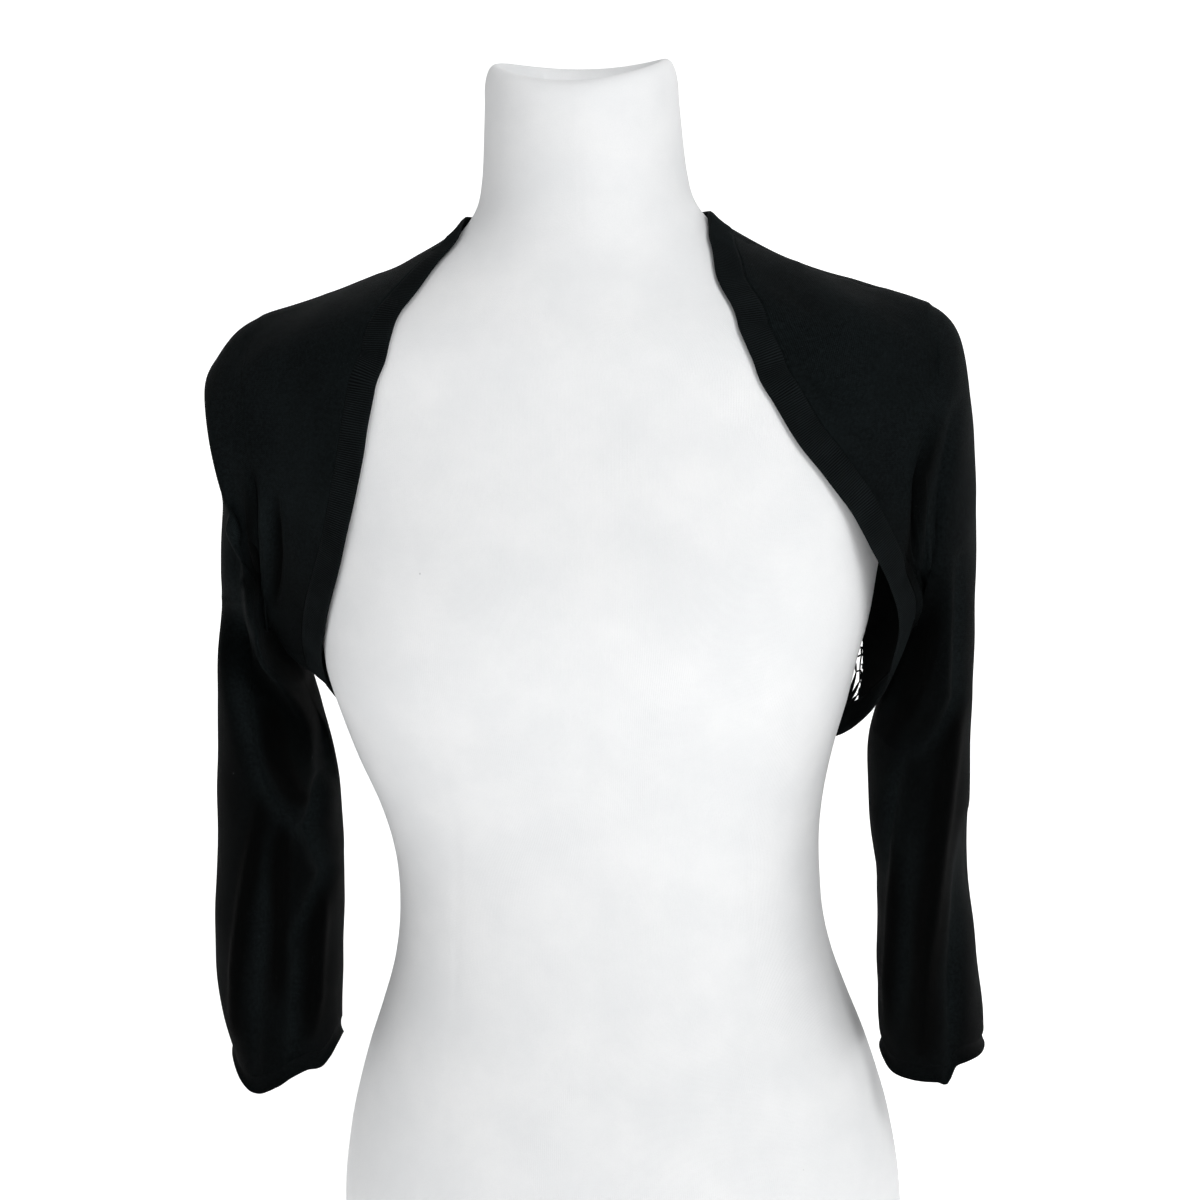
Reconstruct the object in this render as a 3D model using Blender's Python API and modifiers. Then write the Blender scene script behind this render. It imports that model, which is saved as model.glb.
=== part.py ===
"""A fine-knit shrug on a limbless dress form, modelled in metres with +Z up.

The form is a loft of level rings. The shrug's body is the form's own surface moved out by a gap, cut into
panels along its seams, and each sleeve is a loft of rings that turns from the armhole to the cuff.
The origin is the centre of the form's flat base. The front faces -Y, and +X is the wearer's left.
"""

import math

import bpy
import numpy as np

MM = 0.001
KNIT = 1.2 * MM
RIB_KNIT = 1.6 * MM
TURNED_HEM = 2.2 * MM
BAND_WIDTH = 17 * MM
SEAM = 0.7 * MM
BACK_SEAM = 1.9 * MM
ARMHOLE_LAP = 1.7 * MM

# Heights in mm above the base, half widths in mm, and angles in degrees round the body.
SHOULDER_TIP = 583
UNDERARM = 418
YOKE_LINE = 545
LACE_HALF_WIDTH = 147
ARMHOLE_ANGLE = 22.0
ARMHOLE_SWING = 10.0
ARMHOLE_FULLNESS = 2.3
SIDE_GAP_FALLOFF = 6

# By the free edge on the wearer's right side the cloth clings to the form: the gap there in mm, the height
# over which it opens, the first row of the edge that clings, and the turns over which the cling fades.
CLOSE_GAP = 2.8
CLING_REACH = 46
CLING_FIRST_ROW = 5
CLING_TURNS = (20, 60)

FORM_SIDES = 44
FRONT_COLUMNS = 7
FRONT_ROWS = 20
NECK_COLUMNS = 12
YOKE_ROWS = 5
ARMHOLE_ROWS = 10
SIDE_SEAM_ROWS = 3
LACE_COLUMNS = 14
SIDE_COLUMNS = (FRONT_COLUMNS * 2 + NECK_COLUMNS - LACE_COLUMNS) // 2
BAND_COLUMNS = 2
CURVE_STEPS = 24
STEPS_ALONG = 4
SAMPLES = 400
SHARP_ANGLE = 45
# How far each way a slope is measured: degrees round and rows up.
TURN_STEP = 0.5
RISE_STEP = 0.02

# Level rings of the form, in mm: the widest points of a ring lie at y = middle, its front at y = -front,
# and its centre leans that far towards +X.
FORM_COLUMNS = ("height", "half_width", "middle", "front", "back", "fullness", "lean")
FORM_ROWS = (
    (0, 161, 8, 100, 112, 2.2, 0),
    (40, 163, 8, 103, 118, 2.2, 0),
    (80, 162, 8, 104, 122, 2.2, 0),
    (115, 157, 8, 103, 121, 2.2, 0),
    (140, 151, 7, 101, 116, 2.2, 0),
    (165, 143.5, 6, 98, 109, 2.2, 0),
    (190, 134.5, 5, 95, 101, 2.2, 0),
    (215, 126.5, 3, 92, 93, 2.2, 0),
    (240, 121.8, 0, 90, 86, 2.2, 0),
    (266, 120.5, -2, 89, 82, 2.2, 0),
    (290, 121.8, -4, 90, 80, 2.2, -0.9),
    (315, 126.5, -6, 93, 80, 2.25, -2.4),
    (343, 135, -8, 98, 82, 2.3, -4.4),
    (370, 143, -12, 105, 85, 2.35, -4.2),
    (395, 149, -16, 113, 89, 2.4, -3.8),
    (420, 153.5, -18, 120, 93, 2.4, -1.2),
    (445, 157, -18, 123, 97, 2.4, 0),
    (470, 162, -14, 120, 100, 2.4, 0),
    (495, 170, -8, 113, 102, 2.35, 0),
    (520, 179, -2, 105, 103, 2.3, 0),
    (545, 187, 4, 97, 101, 2.25, 0),
    (565, 190, 6, 91, 98, 2.2, 0),
    (578, 185, 7, 87, 95, 2.15, 0),
    (588, 170, 7, 83, 91, 2.1, 0),
    (596, 150, 7, 79, 87, 2.1, 0),
    (604, 127, 6, 75, 82, 2.1, 0),
    (613, 106, 4, 71, 77, 2.05, 0),
    (623, 87, 2, 66, 71, 2.05, 0),
    (634, 71, 0, 62, 65, 2.0, 0),
    (648, 60.5, -2, 58, 60, 2.0, 0),
    (664, 56.5, -3, 56, 57, 2.0, 0),
    (686, 54.5, -4, 54, 54, 2.0, 0),
    (706, 53.2, -4, 53, 52, 2.0, 0),
)

# The neck's top: the outer skin turns over a rim into a shallow dish. The rim is a saddle, high at the sides.
NECK_TOP_COLUMNS = ("height", "inset", "side_rise")
NECK_TOP_ROWS = (
    (714, 1.0, 4),
    (719, 4.5, 7),
    (719, 9.5, 7),
    (715, 15, 4),
    (711, 26, 1),
)

# The gap from the form's skin to the middle of the cloth, in mm, along the side, the front and the back.
GAP_COLUMNS = ("height", "side", "front", "back")
GAP_ROWS = (
    (318, 10, 3, 14),
    (345, 13, 3, 14),
    (370, 17, 3, 13),
    (385, 20, 4, 12),
    (397, 22, 5, 11),
    (418, 25, 4, 9),
    (445, 26, 3.2, 6),
    (470, 25, 2.8, 4),
    (495, 21, 2.8, 3),
    (520, 15, 2.8, 2.8),
    (545, 10, 2.8, 2.8),
    (565, 7, 2.8, 2.8),
    (583, 4, 2.8, 3.0),
    (604, 3.2, 2.8, 3.2),
    (650, 3.0, 2.8, 3.0),
)


# The opening's free edge, from the shoulder over the front, under the arm and on to the middle of the back.
# The turn is the angle from the side towards the front, so it is negative behind the side.
EDGE_COLUMNS = ("turn", "height")
LEFT_EDGE = (
    (0, 641),
    (12, 638),
    (30.5, 628),
    (49.5, 610),
    (61, 587),
    (62, 566),
    (58.5, 547),
    (53, 527),
    (44, 506),
    (34, 484.5),
    (23.5, 457),
    (15, 431),
    (9, 402),
    (0, 373),
    (-13, 349),
    (-27, 335),
    (-50, 325.5),
    (-70, 322),
    (-90, 321),
)
RIGHT_EDGE = (
    (0, 641),
    (20, 635),
    (31.5, 622),
    (47, 603),
    (58, 580),
    (57.5, 558),
    (54.5, 532),
    (50, 506),
    (44, 480),
    (36, 455),
    (27, 432),
    (17, 408),
    (8, 388),
    (0, 372),
    (-13, 352),
    (-27, 339),
    (-50, 328),
    (-70, 323),
    (-90, 321),
)
NECK_EDGE = ((0, 641), (-25, 638), (-55, 634), (-90, 633))

# Rings of each sleeve, in mm. The top of a ring is its outermost point and the bottom its innermost,
# and x is the distance from the body's middle plane.
SLEEVE_COLUMNS = ("top_x", "top_z", "bottom_x", "bottom_z", "middle", "half_depth")
LEFT_SLEEVE = (
    (191, 585, 181.2, 411, 3, 48),
    (198, 580, 179.5, 405, 3, 48),
    (204, 569, 176.5, 397, 3, 48),
    (208, 548, 171, 388, 3, 48),
    (210.5, 520, 167, 378, 2, 47),
    (211, 488, 162, 368, 1, 46),
    (211, 452, 156.5, 357, 0, 46),
    (210.5, 415, 151.5, 345, 0, 45),
    (208.5, 375, 149.5, 330, -1, 44),
    (206.2, 330, 149.5, 309, -1, 44),
    (205, 288, 151.5, 281, -2, 44),
    (205.5, 250, 153.5, 249, -2, 44),
    (209, 216, 153.3, 216, -2, 44),
    (211.5, 184, 153.2, 184, -2, 43),
    (211.7, 160, 153.4, 160, -2, 42),
)
RIGHT_SLEEVE = (
    (191, 586, 183.5, 411, 3, 48),
    (200, 581, 182.5, 405, 3, 48),
    (209.5, 570, 180, 398, 2, 48),
    (216, 553, 176.5, 390, 1, 48),
    (213.5, 532, 173, 381, 0, 48),
    (211, 498, 171.5, 372, -1, 47),
    (213, 460, 167, 362, -2, 46),
    (216.5, 423, 161.5, 350, -3, 45),
    (219, 382, 158, 336, -4, 44),
    (221.3, 337, 154.8, 314, -4, 43),
    (224.5, 292, 154, 286, -4, 42),
    (228, 253, 156, 253, -4, 42),
    (229.5, 219, 158, 220, -4, 42),
    (227.5, 188, 160, 190, -4, 42),
    (222, 162, 161, 162, -4, 42),
)
HEM_COLUMNS = ("out", "drop")
HEM_ROWS = ((0.2, 0.5), (0.6, 5.5), (-0.2, 11))
HEM_WAVE = 1.6


def column(rows, names, name):
    """One named column of a table as an array."""
    return np.array([row[names.index(name)] for row in rows], float)


FORM_HEIGHTS = column(FORM_ROWS, FORM_COLUMNS, "height")


def level_of(height):
    """The place of a height in mm along the form's rows, counted in rows."""
    return np.interp(height, FORM_HEIGHTS, np.arange(len(FORM_HEIGHTS)))


def smooth_value(values, level):
    """A value at a level between rows, on a Catmull-Rom curve through the rows."""
    level = np.clip(level, 0, len(values) - 1)
    row = np.minimum(level.astype(int), len(values) - 2)
    t = level - row
    before, here, after, beyond = (values[np.clip(row + k, 0, len(values) - 1)] for k in (-1, 0, 1, 2))
    bend = 2 * before - 5 * here + 4 * after - beyond
    twist = 3 * here - before - 3 * after + beyond
    return here + 0.5 * t * (after - before + t * (bend + t * twist))


def form_point(angle, level):
    """Points of the form's skin in metres. The angle, in degrees, is 0 at +X and 90 at the back."""
    angle, level = np.broadcast_arrays(np.radians(angle), np.asarray(level, float))
    row = {name: smooth_value(column(FORM_ROWS, FORM_COLUMNS, name), level) for name in FORM_COLUMNS}
    cos, sin = np.cos(angle), np.sin(angle)
    power = 2 / row["fullness"]
    depth = np.where(sin < 0, row["front"] + row["middle"], row["back"] - row["middle"])
    x = row["lean"] + row["half_width"] * np.sign(cos) * np.abs(cos) ** power
    y = row["middle"] + depth * np.sign(sin) * np.abs(sin) ** power
    return np.stack([x, y, row["height"]], -1) * MM


def lean_of(level):
    """How far the body's middle leans towards +X, in metres."""
    return smooth_value(column(FORM_ROWS, FORM_COLUMNS, "lean"), np.asarray(level, float)) * MM


def form_normal(angle, level):
    """The form's outward direction at points of its skin."""
    turn, rise = TURN_STEP, RISE_STEP
    around = form_point(np.add(angle, turn), level) - form_point(np.subtract(angle, turn), level)
    upward = form_point(angle, np.add(level, rise)) - form_point(angle, np.subtract(level, rise))
    normal = np.cross(around, upward)
    return normal / np.linalg.norm(normal, axis=-1, keepdims=True)


def clinging(angle, height):
    """0 where the cloth clings to the form, rising smoothly to 1 where it is free."""
    edge = np.array(RIGHT_EDGE[CLING_FIRST_ROW:], float)[::-1]
    turn = np.degrees(np.pi - np.mod(angle, 2 * np.pi))
    above = np.clip((height - np.interp(-turn, edge[:, 0], edge[:, 1])) / CLING_REACH, 0, 1)
    free = above * above * (3 - 2 * above)
    behind = np.clip((turn - CLING_TURNS[0]) / (CLING_TURNS[1] - CLING_TURNS[0]), 0, 1)
    share = np.where(np.cos(angle) < 0, 1 - behind, 0)
    return 1 - share * (1 - free)


def cloth_gap(angle, level):
    """How far the middle of the cloth stands off the form, in metres."""
    height = smooth_value(FORM_HEIGHTS, np.asarray(level, float))
    heights = column(GAP_ROWS, GAP_COLUMNS, "height")
    side, front, back = (
        np.interp(height, heights, column(GAP_ROWS, GAP_COLUMNS, name)) for name in GAP_COLUMNS[1:]
    )
    angle = np.radians(angle)
    sideways = np.abs(np.cos(angle)) ** SIDE_GAP_FALLOFF
    gap = sideways * side + (1 - sideways) * np.where(np.sin(angle) < 0, front, back)
    return (CLOSE_GAP + (gap - CLOSE_GAP) * clinging(angle, height)) * MM


def body_point(angle, level):
    """Points on the middle of the shrug's cloth."""
    angle, level = np.broadcast_arrays(np.asarray(angle, float), np.asarray(level, float))
    out = cloth_gap(angle, level)
    return form_point(angle, level) + form_normal(angle, level) * out[..., None]


def surface_normal(angle, level):
    """The cloth's outward direction, and its two tangents a degree round and a row up."""
    turn, rise = TURN_STEP, RISE_STEP
    around = (body_point(angle + turn, level) - body_point(angle - turn, level)) / (2 * turn)
    upward = (body_point(angle, level + rise) - body_point(angle, level - rise)) / (2 * rise)
    normal = np.cross(around, upward)
    return normal / np.linalg.norm(normal, axis=-1, keepdims=True), around, upward


def moved_along(places, direction, distance):
    """Places on the cloth, as (angle, level), moved a distance along it in a direction in space."""
    for _ in range(STEPS_ALONG):
        _, around, upward = surface_normal(places[:, 0], places[:, 1])
        aa, au, uu = (around * around).sum(-1), (around * upward).sum(-1), (upward * upward).sum(-1)
        da, du = (direction * around).sum(-1), (direction * upward).sum(-1)
        scale = distance / STEPS_ALONG / (aa * uu - au * au)
        places = places + np.stack([(da * uu - du * au) * scale, (du * aa - da * au) * scale], -1)
    return places


def side_row(edge):
    """The row of an edge table that lies at the side, under the arm."""
    return max(row for row, (turn, _) in enumerate(edge) if turn == 0)


def opening_runs():
    """The opening's free edge in four runs from seam to seam, each with the band's outer line beside it.

    Returns a function that samples a run at fractions of its length and gives both lines as (angle, level).
    """
    left = [(-turn, height) for turn, height in LEFT_EDGE]
    right = [(180 + turn, height) for turn, height in RIGHT_EDGE][-2::-1]
    neck_right = [(180 + turn, height) for turn, height in NECK_EDGE][1:]
    neck_left = [(-turn, height) for turn, height in NECK_EDGE][-2:0:-1]
    control = np.array(left + right + neck_right + neck_left, float)
    control[:, 1] = level_of(control[:, 1])
    right_shoulder = len(left) + len(right) - 1
    seams = {
        "front_left": (0, side_row(LEFT_EDGE)),
        "hem": (side_row(LEFT_EDGE), right_shoulder - side_row(RIGHT_EDGE)),
        "front_right": (right_shoulder - side_row(RIGHT_EDGE), right_shoulder),
        "neck": (right_shoulder, len(control)),
    }
    place = np.arange(len(control) * CURVE_STEPS + 1) / CURVE_STEPS
    around = np.concatenate([control[-1:], control, control[:2]])
    line = np.stack([smooth_value(around[:, k], place + 1) for k in range(2)], -1)
    points = body_point(line[:, 0], line[:, 1])
    length = np.concatenate([[0], np.cumsum(np.linalg.norm(np.diff(points, axis=0), axis=1))])
    tangent = np.gradient(np.concatenate([points[-3:-1], points, points[1:3]]), axis=0)[2:-2]
    normal, _, _ = surface_normal(line[:, 0], line[:, 1])
    away = np.cross(normal, tangent)
    away /= np.linalg.norm(away, axis=1, keepdims=True)
    outer = moved_along(line, away, BAND_WIDTH)

    def sampled(run, fractions):
        start, end = (length[CURVE_STEPS * seam] for seam in seams[run])
        at = start + (end - start) * np.asarray(fractions)
        return [
            np.stack([np.interp(at, length, track[:, k]) for k in range(2)], -1) for track in (line, outer)
        ]

    return sampled


def armhole(turns, towards):
    """Places on the armhole's seam, from 0 at the shoulder's tip to pi under the arm.

    The direction is -1 for the front's half and +1 for the back's. The seam swings back as it goes down.
    """
    middle, half = (SHOULDER_TIP + UNDERARM) / 2, (SHOULDER_TIP - UNDERARM) / 2
    power = 2 / ARMHOLE_FULLNESS
    height = middle + half * np.sign(np.cos(turns)) * np.abs(np.cos(turns)) ** power
    swing = ARMHOLE_SWING * (1 - np.cos(turns)) / 2
    reach = ARMHOLE_ANGLE * np.abs(np.sin(turns)) ** power
    return np.stack([swing + towards * reach, level_of(height)], -1)


def yoke_turn():
    """How far round the armhole the yoke's lower seam meets it."""
    middle, half = (SHOULDER_TIP + UNDERARM) / 2, (SHOULDER_TIP - UNDERARM) / 2
    return math.acos(((YOKE_LINE - middle) / half) ** (ARMHOLE_FULLNESS / 2))


def angle_at_width(levels, half_width):
    """The angle behind the side at which the cloth is a given half width from the body's middle."""
    angles = np.linspace(90, 0, SAMPLES + 1)
    widths = [
        body_point(angles, np.full_like(angles, level))[:, 0] - lean_of(level) for level in levels
    ]
    return np.array([np.interp(half_width * MM, width, angles) for width in widths])


def straight(start, end, count):
    """Places on a straight line in angle and level, with the count of steps given."""
    return np.linspace(start, end, count + 1)


def mirrored(places):
    """The same places on the other side of the body."""
    return places * (-1, 1) + (180, 0)


def coons(top, bottom, first, last):
    """A grid of places that fills four border lines: rows run from top to bottom."""
    u = np.linspace(0, 1, len(top))[None, :, None]
    t = np.linspace(0, 1, len(first))[:, None, None]
    ruled = top[None] * (1 - t) + bottom[None] * t + first[:, None] * (1 - u) + last[:, None] * u
    corners = (top[0] * (1 - u) + top[-1] * u) * (1 - t) + (bottom[0] * (1 - u) + bottom[-1] * u) * t
    return ruled - corners


def drawn_in(grid, distance):
    """A grid of points whose border is drawn in, so that it clears the next piece at the seam."""
    grid = grid.copy()
    for edge, inner in ((0, 1), (-1, -2)):
        for lines in (grid, grid.swapaxes(0, 1)):
            inward = lines[inner] - lines[edge]
            lines[edge] += inward / np.linalg.norm(inward, axis=-1, keepdims=True) * distance
    return grid


def grid_faces(rows, columns, closed=False):
    """The faces of a grid of points in rows, joined round when it is closed."""
    faces = []
    for start in range(0, (rows - 1) * columns, columns):
        for i in range(columns if closed else columns - 1):
            after = (i + 1) % columns
            faces.append((start + i, start + after, start + columns + after, start + columns + i))
    return faces


def principled(name, colour, roughness):
    """A plain material of one colour."""
    material = bpy.data.materials.new(name)
    material.use_nodes = True
    shader = material.node_tree.nodes["Principled BSDF"]
    shader.inputs["Base Color"].default_value = (*colour, 1)
    shader.inputs["Roughness"].default_value = roughness
    shader.inputs["Metallic"].default_value = 0
    return material


def add_mesh(name, points, faces, material):
    """A smooth-shaded mesh object in the shrug's collection."""
    mesh = bpy.data.meshes.new(name)
    mesh.from_pydata([tuple(point) for point in points], [], faces)
    mesh.materials.append(material)
    mesh.shade_smooth()
    mesh.set_sharp_from_angle(angle=math.radians(SHARP_ANGLE))
    piece = bpy.data.objects.new(name, mesh)
    bpy.data.collections["knitted_shrug"].objects.link(piece)
    return piece


def add_cloth(name, grid, thickness, material, closed=False):
    """A sheet of cloth on a grid of points whose first direction runs down and second runs round."""
    rows, columns = grid.shape[:2]
    piece = add_mesh(name, grid.reshape(-1, 3), grid_faces(rows, columns, closed), material)
    wall = piece.modifiers.new("Wall", "SOLIDIFY")
    wall.thickness = thickness
    wall.offset = 0
    wall.use_even_offset = True
    return piece


def on_body(places):
    """A grid of places as points on the middle of the cloth."""
    return body_point(places[..., 0], places[..., 1])


def add_dress_form(material):
    """The form: rings up to the neck, then a rim that turns into a shallow dish."""
    angles = np.arange(FORM_SIDES) * 360 / FORM_SIDES
    rings = [form_point(angles, np.full(FORM_SIDES, level)) for level in range(len(FORM_ROWS))]
    neck = rings[-1]
    middle = neck.mean(axis=0)
    reach = column(FORM_ROWS, FORM_COLUMNS, "half_width")[-1]
    for height, inset, side_rise in NECK_TOP_ROWS:
        ring = middle + (neck - middle) * (1 - inset / reach)
        ring[:, 2] = (height + side_rise * np.cos(np.radians(angles)) ** 2) * MM
        rings.append(ring)
    points = np.concatenate(rings)
    faces = grid_faces(len(rings), FORM_SIDES, closed=True)
    faces.append(tuple(range(FORM_SIDES))[::-1])
    faces.append(tuple(range(len(points) - FORM_SIDES, len(points))))
    return add_mesh("dress_form", points, faces, material)


def add_front(side, band_line, material):
    """A front panel, from the band's line to the shoulder seam, the armhole and the side seam."""
    flip = mirrored if side == "right" else np.asarray
    line = flip(band_line if side == "left" else band_line[::-1])
    tip, underarm = armhole(np.array([0, math.pi]), -1)
    places = coons(
        straight(line[0], tip, FRONT_COLUMNS),
        straight(line[-1], underarm, FRONT_COLUMNS),
        line,
        armhole(np.linspace(0, math.pi, FRONT_ROWS + 1), -1),
    )
    grid = drawn_in(on_body(flip(places)), SEAM / 2)
    return add_cloth(f"front_{side}", grid[:, :: 1 if side == "left" else -1], KNIT, material)


def window_line(foot):
    """The lace panel's side edge, from the yoke down to its foot on the hem band's line."""
    levels = np.linspace(level_of(YOKE_LINE), foot[1], ARMHOLE_ROWS + SIDE_SEAM_ROWS + 1)
    return np.stack([angle_at_width(levels, LACE_HALF_WIDTH), levels], -1)


def back_armhole(first, last, count):
    """Places down the back half of the left armhole."""
    return armhole(np.linspace(first, last, count + 1), 1)


def yoke_foot(window_top):
    """The yoke's lower seam from the left armhole to the right one."""
    start = armhole(np.array([yoke_turn()]), 1)[0]
    side = straight(start, window_top, SIDE_COLUMNS)
    middle = straight(window_top, mirrored(window_top), LACE_COLUMNS)
    return np.concatenate([side, middle[1:-1], mirrored(side)[::-1]])


def add_back(hem_line, neck_line, foot, plain, lace):
    """The plain yoke and side strips of the back, and the lace panel set between them."""
    tip = armhole(np.array([0.0]), 1)[0]
    left_shoulder = straight(tip, neck_line[0], FRONT_COLUMNS)
    right_shoulder = straight(neck_line[-1], mirrored(tip), FRONT_COLUMNS)
    top = np.concatenate([left_shoulder[:-1], neck_line, right_shoulder[1:]])
    arm = back_armhole(0, yoke_turn(), YOKE_ROWS)
    yoke = coons(top, foot, arm, mirrored(arm))
    add_cloth("back_yoke", drawn_in(on_body(yoke), SEAM / 2)[:, ::-1], KNIT, plain)

    last_side = len(hem_line) - 1 - SIDE_COLUMNS
    left_window = window_line(hem_line[SIDE_COLUMNS])
    right_window = window_line(mirrored(hem_line[last_side]))
    for side, line, window in (
        ("left", hem_line[: SIDE_COLUMNS + 1], left_window),
        ("right", mirrored(hem_line[last_side:])[::-1], right_window),
    ):
        underarm = armhole(np.array([math.pi]), 1)[0]
        outer = np.concatenate(
            [
                back_armhole(yoke_turn(), math.pi, ARMHOLE_ROWS),
                straight(underarm, line[0], SIDE_SEAM_ROWS)[1:],
            ]
        )
        places = coons(foot[: SIDE_COLUMNS + 1], line, outer, window)
        if side == "right":
            places = mirrored(places)[:, ::-1]
        add_cloth(f"back_side_{side}", drawn_in(on_body(places), BACK_SEAM / 2)[:, ::-1], KNIT, plain)

    lace_top = foot[SIDE_COLUMNS : last_side + 1]
    lace_foot = hem_line[SIDE_COLUMNS : last_side + 1]
    places = coons(lace_top, lace_foot, left_window, mirrored(right_window))
    add_cloth("back_lace", drawn_in(on_body(places), BACK_SEAM / 2)[:, ::-1], KNIT, lace)


def add_band(name, edge, outer, material):
    """A run of the rib band, from the opening's free edge to the panels beside it."""
    across = np.linspace(0, 1, BAND_COLUMNS + 1)[None, :, None]
    places = edge[:, None] * (1 - across) + outer[:, None] * across
    return add_cloth(name, drawn_in(on_body(places), SEAM / 2), RIB_KNIT, material)


def sleeve_ring(row, turns, towards):
    """Half of a sleeve's ring, from its outermost point to its innermost, in metres."""
    top_x, top_z, bottom_x, bottom_z, middle, half_depth = row
    power = 2 / ARMHOLE_FULLNESS
    along = np.sign(np.cos(turns)) * np.abs(np.cos(turns)) ** power
    x = (top_x + bottom_x) / 2 + (top_x - bottom_x) / 2 * along
    z = (top_z + bottom_z) / 2 + (top_z - bottom_z) / 2 * along
    return np.stack([x, middle + towards * half_depth * np.abs(np.sin(turns)) ** power, z], -1) * MM


def add_sleeve(side, rows, material):
    """A sleeve, open at the armhole and the cuff, with its turned hem."""
    front = np.linspace(0, math.pi, FRONT_ROWS + 1)
    back = np.concatenate(
        [np.linspace(0, yoke_turn(), YOKE_ROWS + 1), np.linspace(yoke_turn(), math.pi, ARMHOLE_ROWS + 1)[1:]]
    )
    places = np.concatenate([armhole(front, -1), armhole(back, 1)[-2:0:-1]])
    places = mirrored(places) if side == "right" else places
    flip = (-1, 1, 1) if side == "right" else (1, 1, 1)
    normal, _, _ = surface_normal(places[:, 0], places[:, 1])
    first = (on_body(places) + normal * ARMHOLE_LAP) * flip
    rings = [first]
    for row in rows:
        rings.append(np.concatenate([sleeve_ring(row, front, -1), sleeve_ring(row, back, 1)[-2:0:-1]]))
    last = rings[-1]
    middle = last.mean(axis=0)
    outward = (last - middle) / np.linalg.norm(last - middle, axis=1, keepdims=True)
    turns = np.concatenate([front, -back[-2:0:-1]])
    hem = []
    for out, drop in HEM_ROWS:
        ring = last + outward * out * MM
        ring[:, 2] -= (drop + HEM_WAVE * np.cos(2 * turns) * drop / HEM_ROWS[-1][1]) * MM
        hem.append(ring)
    turn = -1 if side == "right" else 1
    add_cloth(f"sleeve_{side}", (np.array(rings) * flip)[:, ::turn], KNIT, material, closed=True)
    add_cloth(f"cuff_hem_{side}", (np.array(hem) * flip)[:, ::turn], TURNED_HEM, material, closed=True)


def main():
    """Builds the dress form and the shrug."""
    for item in list(bpy.data.objects):
        bpy.data.objects.remove(item, do_unlink=True)
    collection = bpy.data.collections.new("knitted_shrug")
    bpy.context.scene.collection.children.link(collection)
    jersey = principled("Jersey", (0.86, 0.86, 0.86), 0.85)
    knit = principled("Knit", (0.012, 0.013, 0.014), 0.9)
    rib = principled("Rib", (0.014, 0.015, 0.017), 0.9)
    lace = principled("Lace", (0.010, 0.011, 0.012), 0.9)

    sampled = opening_runs()
    _, hem_outer = sampled("hem", np.linspace(0, 1, SAMPLES + 1))
    off_middle = np.abs(on_body(hem_outer)[:, 0] - lean_of(hem_outer[:, 1]))
    inside = np.flatnonzero(off_middle < LACE_HALF_WIDTH * MM) / SAMPLES
    hem_parts = (
        np.linspace(0, inside[0], SIDE_COLUMNS + 1),
        np.linspace(inside[0], inside[-1], LACE_COLUMNS + 1)[1:-1],
        np.linspace(inside[-1], 1, SIDE_COLUMNS + 1),
    )
    hem_edge, hem_line = sampled("hem", np.concatenate(hem_parts))
    neck_edge, neck_line = sampled("neck", np.linspace(0, 1, NECK_COLUMNS + 1))
    yoke_level = level_of(YOKE_LINE)
    window_top = np.array([angle_at_width([yoke_level], LACE_HALF_WIDTH)[0], yoke_level])

    add_dress_form(jersey)
    for side in ("left", "right"):
        edge, line = sampled(f"front_{side}", np.linspace(0, 1, FRONT_ROWS + 1))
        add_front(side, line, knit)
        add_band(f"band_front_{side}", edge, line, rib)
    add_band("band_hem", hem_edge, hem_line, rib)
    add_band("band_neck", neck_edge, neck_line, rib)
    add_back(hem_line, neck_line[::-1], yoke_foot(window_top), knit, lace)
    for side, rows in (("left", LEFT_SLEEVE), ("right", RIGHT_SLEEVE)):
        add_sleeve(side, rows, knit)


main()
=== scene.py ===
"""A fine-knit shrug on a limbless dress form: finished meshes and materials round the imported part.

The tables are in millimetres from the centre of the form's flat base, and the meshes are in metres.
The front faces -Y, and +X is the wearer's left. Angles go round the body in degrees, from 0 at +X
to 90 at the back.
"""

from __future__ import annotations

import logging
import math
from collections.abc import Callable, Sequence
from dataclasses import dataclass
from enum import Enum
from typing import Any

import bpy
import numpy as np
from mathutils import Matrix


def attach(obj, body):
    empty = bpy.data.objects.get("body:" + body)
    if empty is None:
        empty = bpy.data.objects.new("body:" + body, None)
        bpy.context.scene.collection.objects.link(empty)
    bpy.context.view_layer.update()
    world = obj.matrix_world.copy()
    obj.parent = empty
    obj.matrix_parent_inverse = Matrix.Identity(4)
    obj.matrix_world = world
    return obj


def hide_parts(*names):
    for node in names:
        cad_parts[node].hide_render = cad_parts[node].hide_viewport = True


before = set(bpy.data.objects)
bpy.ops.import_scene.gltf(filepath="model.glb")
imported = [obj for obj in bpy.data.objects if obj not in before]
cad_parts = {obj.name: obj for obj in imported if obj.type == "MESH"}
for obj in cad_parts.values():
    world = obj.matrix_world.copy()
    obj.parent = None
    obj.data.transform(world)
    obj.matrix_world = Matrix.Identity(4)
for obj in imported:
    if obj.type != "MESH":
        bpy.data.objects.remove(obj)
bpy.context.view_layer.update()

log = logging.getLogger("shrug")
logging.basicConfig(level=logging.INFO, format="%(name)s: %(message)s")

Array = np.ndarray
Colour = tuple[float, float, float]
Spot = tuple[float, float, float]
Point = tuple[float, float]
Yarns = tuple[Array, Array, Array, float]
Finish = bpy.types.Material
Piece = bpy.types.Object

MM = 0.001
FULL_TURN = 2 * math.pi
BAND_WIDTH = 17 * MM
# The armhole: its two ends' heights in mm, its reach and swing in degrees, and how square it is.
SHOULDER_TIP = 583
UNDERARM = 418
ARMHOLE_MIDDLE = (SHOULDER_TIP + UNDERARM) / 2
ARMHOLE_HALF = (SHOULDER_TIP - UNDERARM) / 2
ARMHOLE_ANGLE = 22.0
ARMHOLE_SWING = 10.0
ARMHOLE_FULLNESS = 2.3
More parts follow.
